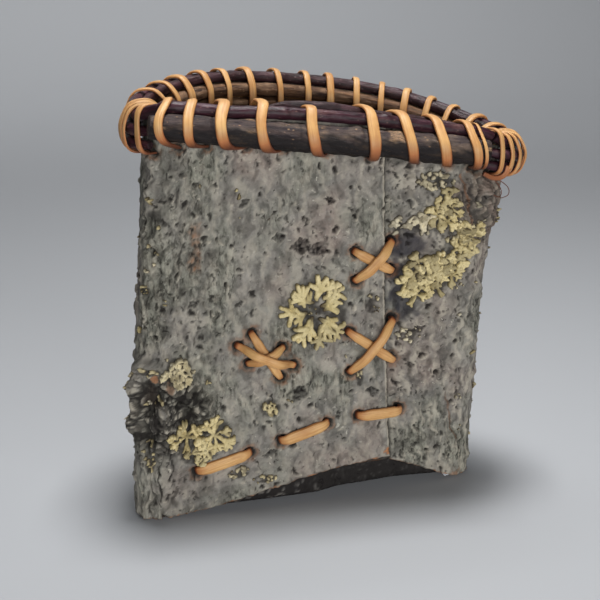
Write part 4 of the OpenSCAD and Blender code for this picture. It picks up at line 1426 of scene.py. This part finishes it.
# The finishing end, tucked under the branch at the right corner, and loose root hairs, as [place, out, above]
TAIL = ((2.42, 9.0, -8.0), (2.4, 8.6, -11.0), (2.34, 7.6, -13.2), (2.24, 6.8, -13.6), (2.14, 6.6, -12.6))
HAIRS = (
    ((2.3, 2.0, -13.0), (2.4, 4.5, -15.5), (2.46, 6.0, -19.0), (2.42, 6.2, -21.5), (2.34, 5.4, -21.0)),
    ((2.34, 2.0, -13.0), (2.46, 5.5, -15.0), (2.54, 7.5, -17.5), (2.56, 7.5, -20.5), (2.48, 6.0, -22.0)),
)


def loose_path(line):
    return curve_through(np.array([rim(*point) for point in line]), LOOSE_STEPS)


def lash_shade(f, on_branch):
    """How dark a turn is painted at share f of its way: painted shade near its holes and under the branch."""
    near = min(f, 1 - f)
    if on_branch and f > 0.5:
        return 0.55 * float(smooth((0.33 - near) / 0.15)) + 0.38 * float(smooth((0.25 - near) / 0.12))
    return 0.66 * float(smooth((0.14 - near) / 0.12)) + 0.32 * float(smooth((0.32 - near) / 0.25))


LASH_SEED = 12
WIDTH_SPREAD = (0.88, 1.0)
SLACK_SPREAD = (0.0, 0.2)
PINCH = 0.3
PINCH_REACH = 0.1
SPLICE_SHARE = 0.25


def build_lashing(material):
    rng = np.random.default_rng(LASH_SEED)
    path, sides, deep, widths = [], [], [], []
    before = LASH_START
    for hole, top, wide in LASH_TURNS:
        width = wide * rng.uniform(*WIDTH_SPREAD)
        slack = rng.uniform(*SLACK_SPREAD)
        for f in np.arange(STATIONS) / STATIONS:
            place = turn_place(before, top, hole, f)
            line, share = taut_line(place, LASH_CLEAR + slack, top == SPLICE_TOP and f > SPLICE_SHARE)
            path.append(rim(place, np.interp(f, share, line[:, 0]), np.interp(f, share, line[:, 1])))
            sides.append(unit(rim(place + 0.01, 0, 0) - rim(place - 0.01, 0, 0)))
            deep.append(lash_shade(f, BRANCH_START < place % 4 < BRANCH_STOP))
            widths.append(width * (1 - PINCH * float(smooth(1 - min(f, 1 - f) / PINCH_REACH))))
        before = hole
    path = np.array(path)
    for _ in range(3):
        path[1:-1] = 0.25 * path[:-2] + 0.5 * path[1:-1] + 0.25 * path[2:]

    def wander(size, stations, seed):
        station = np.arange(len(path))
        return size * fbm(station / stations, 0.0 * station, seed, 2)

    widths = np.array(widths) * (1 + wander(0.1, 9.0, 21))
    thick = np.clip(0.38 * widths, 0.7, 1.5) * (1 + wander(0.1, 12.0, 23))
    tangent = unit(np.gradient(path, axis=0))
    sides = np.array(sides)
    sides += wander(0.22, 14.0, 25)[:, None] * np.cross(tangent, sides)
    parts = [strand_parts(path, sides, widths, thick, np.array(deep), 1)]
    tail = loose_path(TAIL)
    f = np.linspace(0, 1, len(tail))
    parts.append(strand_parts(tail, upward(tail), 2.7 - 0.9 * f, 1.1 + 0 * f, 0.45 + 0.4 * f, 2))
    for seed, line in enumerate(HAIRS, 3):
        hair = loose_path(line)
        thin = np.full(len(hair), HAIR_WIDTH)
        parts.append(strand_parts(hair, upward(hair), thin, thin, 0.95 + 0 * thin, seed, HAIR_SIDES))
    return join_strands("root_lashing", parts, material)


# A stitch's stations: share of the way, height over the bark, and how much of its bump it takes
STITCH_IN = -2.4
STITCH_STEPS = 9
STITCH_SHARES = np.array([0.0, 0.0, 0.1, 0.3, 0.5, 0.7, 0.9, 1.0, 1.0])
STITCH_LIFTS = np.array([STITCH_IN, -0.6, 1.0, 1.15, 1.3, 1.15, 1.0, -0.6, STITCH_IN])
STITCH_BUMPS = np.array([0, 0, 0, 1, 1, 1, 0, 0, 0])


def stitch_path(a, b, bump):
    """A stitch from hole a to hole b over the bark, and how much painted shade each station takes in and near
    its holes.
    """
    lifts = STITCH_LIFTS + bump * STITCH_BUMPS
    place = 1 + mix(a[0], b[0], STITCH_SHARES)
    z = mix(a[1], b[1], STITCH_SHARES)
    points = wall_at(place, z, lifts)
    path = curve_through(points, STITCH_STEPS)
    station = np.arange(len(path)) / STITCH_STEPS
    f = np.interp(station, np.arange(len(points)), STITCH_SHARES)
    rise = np.interp(station, np.arange(len(points)), lifts)
    # Painted shade where the stitch dips into its holes and near its ends
    deep = 0.85 * smooth((0.1 - rise) / 1.2) + 0.3 * smooth((0.16 - np.minimum(f, 1 - f)) / 0.16)
    normal = wall_frame(place, z / top_height(place))[1]
    across = np.cross(normal[4], unit(points[4] - points[2]))
    return path, np.tile(across, (len(path), 1)), np.clip(deep, 0, 1), f


def build_stitches(name, spans, material, seed, wide):
    rng = np.random.default_rng(seed)
    parts = []
    for k, (a, b, bump) in enumerate(spans):
        path, across, deep, f = stitch_path(a, b, bump)
        full = wide * rng.uniform(0.94, 1.06)
        ends = np.minimum(f, 1 - f)
        width = full * (0.72 + 0.28 * smooth(ends / 0.22)) * (1 + 0.04 * fbm(f * 5, 0 * f + k, 600 + seed, 2))
        thick = STITCH_THICK * (0.85 + 0.15 * smooth(ends / 0.2))
        parts.append(strand_parts(path, across, width, thick, deep, seed + k))
    return join_strands(name, parts, material)


# Lichen
def lobe_capsules(rng, radius, bare, count, width, tip, inner=True):
    """Lobes of a rosette, each a list of tapered bars [from, to, half widths, lifts] that fan out."""
    lobes = []
    rings = ((1.0, count, 0.5), (0.72, max(3, count // 2), 0.0))
    for scale, number, level in rings if inner else rings[:1]:
        for k in range(number):
            angle = 2 * np.pi * (k + rng.uniform(-0.3, 0.3)) / number + 1.3 * level
            reach = scale * radius * rng.uniform(0.5, 0.78)
            start = scale * radius * bare * rng.uniform(0.9, 1.3)
            lift = rng.uniform(0.3, 2.0)
            wide = width * rng.uniform(0.75, 1.25)
            bend = angle + rng.uniform(-0.35, 0.35)
            a = start * heading(angle)
            b = reach * heading(bend)
            middle = level + 0.5 * lift
            bars = [(a, b, 0.5 * wide, 0.8 * wide, level, middle)]
            forks = int(rng.integers(2, 5))
            for fork in range(forks):
                turn = bend + (fork - (forks - 1) / 2) * rng.uniform(0.55, 0.95)
                span = scale * radius * rng.uniform(0.14, 0.3) + 0.8 * wide
                c = b + span * heading(turn)
                bars.append((b, c, 0.62 * wide, tip * wide, middle, level + lift * rng.uniform(0.8, 1.3)))
            lobes.append(bars)
    return lobes


def tuft_capsules(rng, half_w, half_h, count, radius, width):
    """Small rosettes packed over an oval."""
    lobes = []
    for k in range(count):
        r = math.sqrt((k + 0.5) / count)
        turn = 2.4 * k + rng.uniform(-0.4, 0.4)
        middle = r * heading(turn) * (half_w, half_h)
        size = radius * rng.uniform(0.75, 1.2)
        for bars in lobe_capsules(rng, size, 0.08, int(rng.integers(4, 7)), width, 0.75, False):
            lobes.append([(a + middle, b + middle, *rest) for a, b, *rest in bars])
    return lobes


def crust_capsules(rng, half_w, half_h, count, size):
    """Granules scattered over an oval, one short bar for each."""
    lobes = []
    for _ in range(count):
        turn = rng.uniform(0, 2 * np.pi)
        r = math.sqrt(rng.random())
        a = r * heading(turn) * (half_w, half_h)
        big = size * rng.uniform(0.5, 1.1)
        lift = rng.uniform(0.2, 1.0)
        b = a + big * rng.uniform(0.4, 1.4) * unit(rng.normal(size=2))
        lobes.append([(a, b, big, 0.7 * big, lift, lift)])
    return lobes


LICHEN_STEP = 0.32
LICHEN_SINK = -0.25


def corners(grid):
    """Views of a grid that hold the four corners of its cells, in order round a cell."""
    return grid[:-1, :-1], grid[1:, :-1], grid[1:, 1:], grid[:-1, 1:]


def softened(height, rounds):
    for _ in range(rounds):
        around = sum(np.roll(height, shift, axis) for axis in (0, 1) for shift in (1, -1))
        height = (around + 2 * height) / 6
    return height


def lichen_patch(rng, g0, z0, lobes, white):
    """One patch as points, faces and tone, laid on the bark."""
    bars = [bar for lobe in lobes for bar in lobe]
    ends = np.array([[*a, r] for a, _, r, *_ in bars] + [[*b, r] for _, b, _, r, *_ in bars])
    low = (ends[:, :2] - ends[:, 2:]).min(0) - 2 * LICHEN_STEP
    high = (ends[:, :2] + ends[:, 2:]).max(0) + 2 * LICHEN_STEP
    x, z = np.meshgrid(*[np.arange(low[k], high[k], LICHEN_STEP) for k in (0, 1)], indexing="ij")
    ragged = 0.2 * fbm(x / 1.5 + 50 * rng.random(), z / 1.5, 700, 3)
    field = np.full(x.shape, -9.0)
    height = np.zeros(x.shape)
    own = np.zeros(x.shape)
    lit_tops = np.zeros(x.shape)
    for lobe in lobes:
        inside = np.full(x.shape, -9.0)
        lift = np.zeros(x.shape)
        for a, b, ra, rb, rise_a, rise_b in lobe:
            f, d = nearest_on_bar(x, z, a, b)
            here = mix(ra, rb, f) - d
            lift = np.where(here > inside, mix(rise_a, rise_b, f), lift)
            inside = np.maximum(inside, here)
        inside = inside + ragged
        tall = lift + 0.75 * (1 - np.exp(-np.maximum(inside, 0) / 0.35)) - 0.2 * smooth((inside - 0.6) / 0.8)
        take = (inside > 0) & (tall > height)
        height = np.where(take, tall, height)
        own = np.where(take, rng.random(), own)
        # Painted highlight on the tops of the tallest lobes
        lit_tops = np.where(take, smooth((tall - 1.2) / 1.2) * smooth((inside - 0.15) / 0.3), lit_tops)
        field = np.maximum(field, inside)
    hollow = smooth((softened(height, 8) - height) / 0.35)
    s0 = along_sheet(g0)
    field = np.where(z0 + z < low_edge(place_on_sheet(s0 + x)) + 0.2, -1.0, field)

    # Points just outside are pulled in to the outline, and cells with no corner inside are left out
    gx, gz = np.gradient(field, LICHEN_STEP)
    size = np.maximum(0.3, np.hypot(gx, gz))
    outside = field <= 0
    pull = np.where(outside, np.minimum(-field, LICHEN_STEP) / size**2, 0.0)
    x = x + pull * gx
    z = z + pull * gz
    cell = np.logical_or.reduce(corners(~outside))
    used = np.zeros(x.shape, bool)
    for corner in corners(used):
        corner |= cell
    number = np.cumsum(used.ravel()).reshape(x.shape) - 1
    faces = np.stack([corner[cell] for corner in corners(number)], 1)
    g = place_on_sheet(s0 + x[used])
    up = z0 + z[used]
    lift = np.where(outside, LICHEN_SINK, height + 0.08 * fbm(x / 0.8, z / 0.8, 720, 2))[used]
    points = wall_at(g, up, bark_at(g, up).relief - inset(g) + lift)
    # Painted shade on low lobes, in the hollows between lobes and on the sunken skirt, with a random darker
    # tone for some lobes
    shade = np.maximum.reduce([smooth((1.5 - height) / 1.1), hollow, 0.62 * own**2])
    shade = np.where(outside, 1.0, shade)[used]
    return points, faces.tolist(), colour_rows(shade, lit_tops[used], white + 0 * shade)


def build_lichen(name, rosettes, tufts, crusts, material, seed):
    rng = np.random.default_rng(seed)
    patches = []
    for rows, capsules in ((rosettes, lobe_capsules), (tufts, tuft_capsules), (crusts, crust_capsules)):
        for g0, z0, *shape, white in rows:
            patches.append((g0, z0, capsules(rng, *shape), white))
    points, faces, tone = joined([lichen_patch(rng, *patch) for patch in patches])
    return make_piece(name, points, faces, material, tone=tone)


# Specks: spans of the sheet where they grow, and how many; their seed and least gaps to the foot and the top
SPECK_GROUPS = (
    (((5.02, 5.7), (1.78, 2.3), (4.6, 5.0)), 26),
    (((2.3, 3.0), (3.0, 4.0), (4.0, 4.6)), 30),
)
SPECK_SEED = 77
SPECK_FOOT = 16.0
SPECK_TOP = 26.0


def speck_crusts():
    rng = np.random.default_rng(SPECK_SEED)
    crusts = []
    for spans, count in SPECK_GROUPS:
        for _ in range(count):
            g0 = rng.uniform(*spans[rng.integers(len(spans))])
            z0 = rng.uniform(SPECK_FOOT, float(top_height(g0)) - SPECK_TOP)
            spread = rng.uniform(0.4, 2.2)
            granules = int(rng.integers(1, 5))
            crusts.append((g0, z0, spread, spread, granules, rng.uniform(0.5, 0.9), rng.random()))
    return crusts


# Scene
def settle(piece, nodes):
    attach(piece, "root")
    if nodes:
        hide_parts(*nodes)


def steady(height):
    """Height of a shoot that keeps level with the edge."""
    return lambda place: height


# Looks of the shoots: deep, light, bloom and scuff colours, roughness, height of the bump
SHOOT_LOOKS = {
    "branch": ((36, 28, 31), (76, 62, 58), (108, 92, 79), (168, 134, 100), 0.6, 0.0012),
    "purple_shoot": ((32, 16, 22), (66, 34, 44), (86, 56, 66), (124, 92, 86), 0.36, 0.0004),
    "black_shoot": ((26, 13, 16), (62, 35, 37), (84, 58, 64), (122, 98, 98), 0.42, 0.0007),
    "brown_shoot": ((54, 35, 25), (122, 88, 62), (146, 116, 90), (164, 132, 100), 0.65, 0.0014),
}
SKIN = 0.1
PLAIN_ENDS = ((8, 8), 0.7, (0.0, 0.0))
# Shoots: name, node, start, stop, out, above, radius, look, and the taper, thinness and bareness of its ends
SHOOTS = (
    ("outer_upper_shoot", "rim_shoot_outer_upper", 2.3, 6.26, outer_out, upper_above,
     OUTER_R, "purple_shoot", ((8, 10), 0.7, (0.0, 0.0))),
    ("outer_middle_shoot", "rim_shoot_outer_middle", 2.21, 4.6, middle_out, steady(MIDDLE_ABOVE),
     LOW_R, "purple_shoot", PLAIN_ENDS),
    ("outer_lower_shoot", "rim_shoot_outer_lower", 2.21, 4.6, lower_out, steady(LOWER_ABOVE),
     LOW_R, "purple_shoot", ((8, 8), 0.7, (1.0, 0.0))),
    ("top_shoot", "rim_shoot_top", TOP_START, TOP_STOP, top_out, top_above,
     TOP_R, "black_shoot", ((20, 20), 0.35, (0.0, 0.0))),
    ("inner_upper_shoot", "rim_shoot_inner_upper", 3.1, 7.06, inner_out, steady(INNER_UPPER),
     INNER_R, "brown_shoot", PLAIN_ENDS),
    ("inner_lower_shoot", "rim_shoot_inner_lower", 2.5, 6.46, inner_out, steady(INNER_LOWER),
     INNER_R, "brown_shoot", PLAIN_ENDS),
)
BRANCH_STATIONS = 260
BRANCH_SIDES = 40
BRANCH_ENDS = (0.86, (5, 5))
SHOOT_STATIONS = 520
SHOOT_SIDES = 22
SHOOT_WANDER = 0.12
SHOOT_WEAR = 0.5
SHOOT_ROUGH = 0.05
INNER_ROUGH = 0.11
KNOT_GAP = 34.0
KNOT_RISE = 0.4
KNOT_MARGIN = 6.0
ROD_SEED = 5
# Knots of the branch: length along it, rise and turn
BRANCH_KNOTS = ((22, 0.6, 0.6), (57, 0.35, 4.4), (83, 0.7, 5.6), (118, 0.4, 1.2))


def knot_list(rng, length):
    at = rng.uniform(KNOT_MARGIN, KNOT_GAP)
    knots = []
    while at < length - KNOT_MARGIN:
        knots.append((at, KNOT_RISE * rng.uniform(0.7, 1.3), rng.uniform(0, 2 * np.pi)))
        at += KNOT_GAP * rng.uniform(0.7, 1.3)
    return knots


def build_rods():
    looks = {name: shoot_material(name, *look) for name, look in SHOOT_LOOKS.items()}
    rng = np.random.default_rng(ROD_SEED)
    x = np.linspace(BRANCH_LEFT, BRANCH_RIGHT, BRANCH_STATIONS)
    y = BRANCH_Y + 0.3 * fbm(x / 35, 0 * x + 3, 801, 2)
    path = np.stack([x, y, branch_z(x) + 0.35 * fbm(x / 40, 0 * x, 800, 2)], -1)
    radius = tapered(path, branch_radius(x) - SKIN, *BRANCH_ENDS)
    look = looks["branch"]
    # The branch takes the full painted shade on its underside
    piece = build_rod("front_branch", path, radius, look, BRANCH_SIDES, 1, BRANCH_KNOTS, 0.1, 1.0, under=1.0)
    settle(piece, ["rim_branch_front"])
    for seed, (name, node, start, stop, out, above, radius, look, ends) in enumerate(SHOOTS, 2):
        reach, thin, fresh = ends
        path = rim_path(start, stop, out, above, seed)
        radii = tapered(path, radius - SKIN, thin, reach)
        knots = knot_list(rng, path_length(path)[-1])
        inner = look == "brown_shoot"
        rough = INNER_ROUGH if inner else SHOOT_ROUGH
        row = (name, path, radii, looks[look], SHOOT_SIDES, seed, knots, rough, SHOOT_WEAR)
        settle(build_rod(*row, fresh=fresh), [node])


def build_sewing(root):
    settle(build_lashing(root), ["rim_lashing"])
    over = STITCH_THICK + 0.4
    stitches = (
        ("upper_cross_stitch", "seam_cross_stitch_upper", UPPER_CROSS, over, 20, 4.4),
        ("lower_cross_stitch", "seam_cross_stitch_lower", LOWER_CROSS, over, 30, 4.4),
        ("star_stitches", "star_stitch", STAR_HOLES, over, 40, 3.7),
        ("running_stitches", "base_stitches", BASE_HOLES, 0.0, 50, 4.9),
    )
    for name, node, holes, rise, seed, wide in stitches:
        spans = [(a, b, k * rise) for k, (a, b) in enumerate(zip(holes[::2], holes[1::2]))]
        settle(build_stitches(name, spans, root, seed, wide), [node])


def grow_lichen():
    lichen = lichen_material()
    specks = ("lichen_specks", [], [], speck_crusts(), 65)
    for name, rosettes, tufts, crusts, seed in (*LICHENS, specks):
        settle(build_lichen(name, rosettes, tufts, crusts, lichen, seed), [])


# Lamps in metres and watts: name, place, target, size, power, spread in degrees
LAMPS = (
    ("over", (0.06, 0.06, 1.15), (0, -0.1, 0), (0.24, 0.24), 1.9, 70),
    ("back", (0, 0.5, 1.8), (0, 1.3, 0), (1.0, 0.6), 5, 180),
    ("far", (0, 0.9, 1.8), (0, 1.2, 0), (1.0, 0.6), 5, 90),
    ("front", (-0.3, -1.6, 0.26), (0, 0, 0.1), (1.2, 0.4), 13, 180),
    ("side", (0.5, -1.5, 0.4), (0, 0, 0.1), (1.0, 0.5), 9, 180),
)
AIR_COLOUR = (0.85, 0.9, 1.0, 1)
AIR_STRENGTH = 0.04


def light(name, place, target, size, power, spread):
    lamp = bpy.data.lights.new(name, "AREA")
    lamp.shape = "RECTANGLE"
    lamp.size = size[0]
    lamp.size_y = size[1]
    lamp.energy = power
    lamp.spread = math.radians(spread)
    obj = bpy.data.objects.new(name, lamp)
    obj.location = place
    obj.rotation_euler = (Vector(target) - Vector(place)).to_track_quat("-Z", "Y").to_euler()
    bpy.context.scene.collection.objects.link(obj)


STAGE_HALF = 2.5
STAGE_BEND = 0.6
STAGE_BACK = 0.9
STAGE_TOP = 3.0
STAGE_DROP = 0.0004
BEND_STEPS = 24


def build_stage():
    """A pale sheet that runs from the floor up behind the basket."""
    profile = [(-STAGE_HALF, 0.0), (STAGE_BACK, 0.0)]
    for k in range(1, BEND_STEPS + 1):
        turn = math.pi / 2 * k / BEND_STEPS
        profile.append((STAGE_BACK + STAGE_BEND * math.sin(turn), STAGE_BEND * (1 - math.cos(turn))))
    profile.append((STAGE_BACK + STAGE_BEND, STAGE_TOP))
    points = [(x, y, z - STAGE_DROP) for y, z in profile for x in (-STAGE_HALF, STAGE_HALF)]
    faces = [(2 * k, 2 * k + 1, 2 * k + 3, 2 * k + 2) for k in range(len(profile) - 1)]
    paper = Shader("studio_paper", 0.9, 0.1).finish({"Base Color": srgb(170, 172, 175)})
    make_piece("studio_sheet", np.array(points) / MM, faces, paper)


def build_lights():
    scene = bpy.context.scene
    scene.world = bpy.data.worlds.new("studio_air")
    scene.world.use_nodes = True
    air = scene.world.node_tree.nodes["Background"]
    air.inputs["Color"].default_value = AIR_COLOUR
    air.inputs["Strength"].default_value = AIR_STRENGTH
    for lamp in LAMPS:
        light(*lamp)
    scene.view_settings.view_transform = "Standard"


VIEW_AZIMUTH = math.radians(-13.0)
VIEW_ELEVATION = math.radians(17.7)
VIEW_TARGET = Vector((-0.002, 0.0, 0.0846))
VIEW_DISTANCE = 0.595
LENS = 84.0
SENSOR = 36.0


def build_camera():
    flat = math.cos(VIEW_ELEVATION)
    back = Vector((math.sin(VIEW_AZIMUTH) * flat, -math.cos(VIEW_AZIMUTH) * flat, math.sin(VIEW_ELEVATION)))
    data = bpy.data.cameras.new("photo_view")
    data.lens = LENS
    data.sensor_width = SENSOR
    camera = bpy.data.objects.new("photo_view", data)
    camera.location = VIEW_TARGET + VIEW_DISTANCE * back
    camera.rotation_euler = (-back).to_track_quat("-Z", "Y").to_euler()
    bpy.context.scene.collection.objects.link(camera)
    bpy.context.scene.camera = camera


def main():
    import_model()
    bark = bark_material()
    settle(build_wall(bark), ["bark_wall"])
    settle(build_bottom(bark), ["bark_bottom"])
    build_rods()
    build_sewing(root_material())
    grow_lichen()
    build_stage()
    build_lights()
    build_camera()


main()
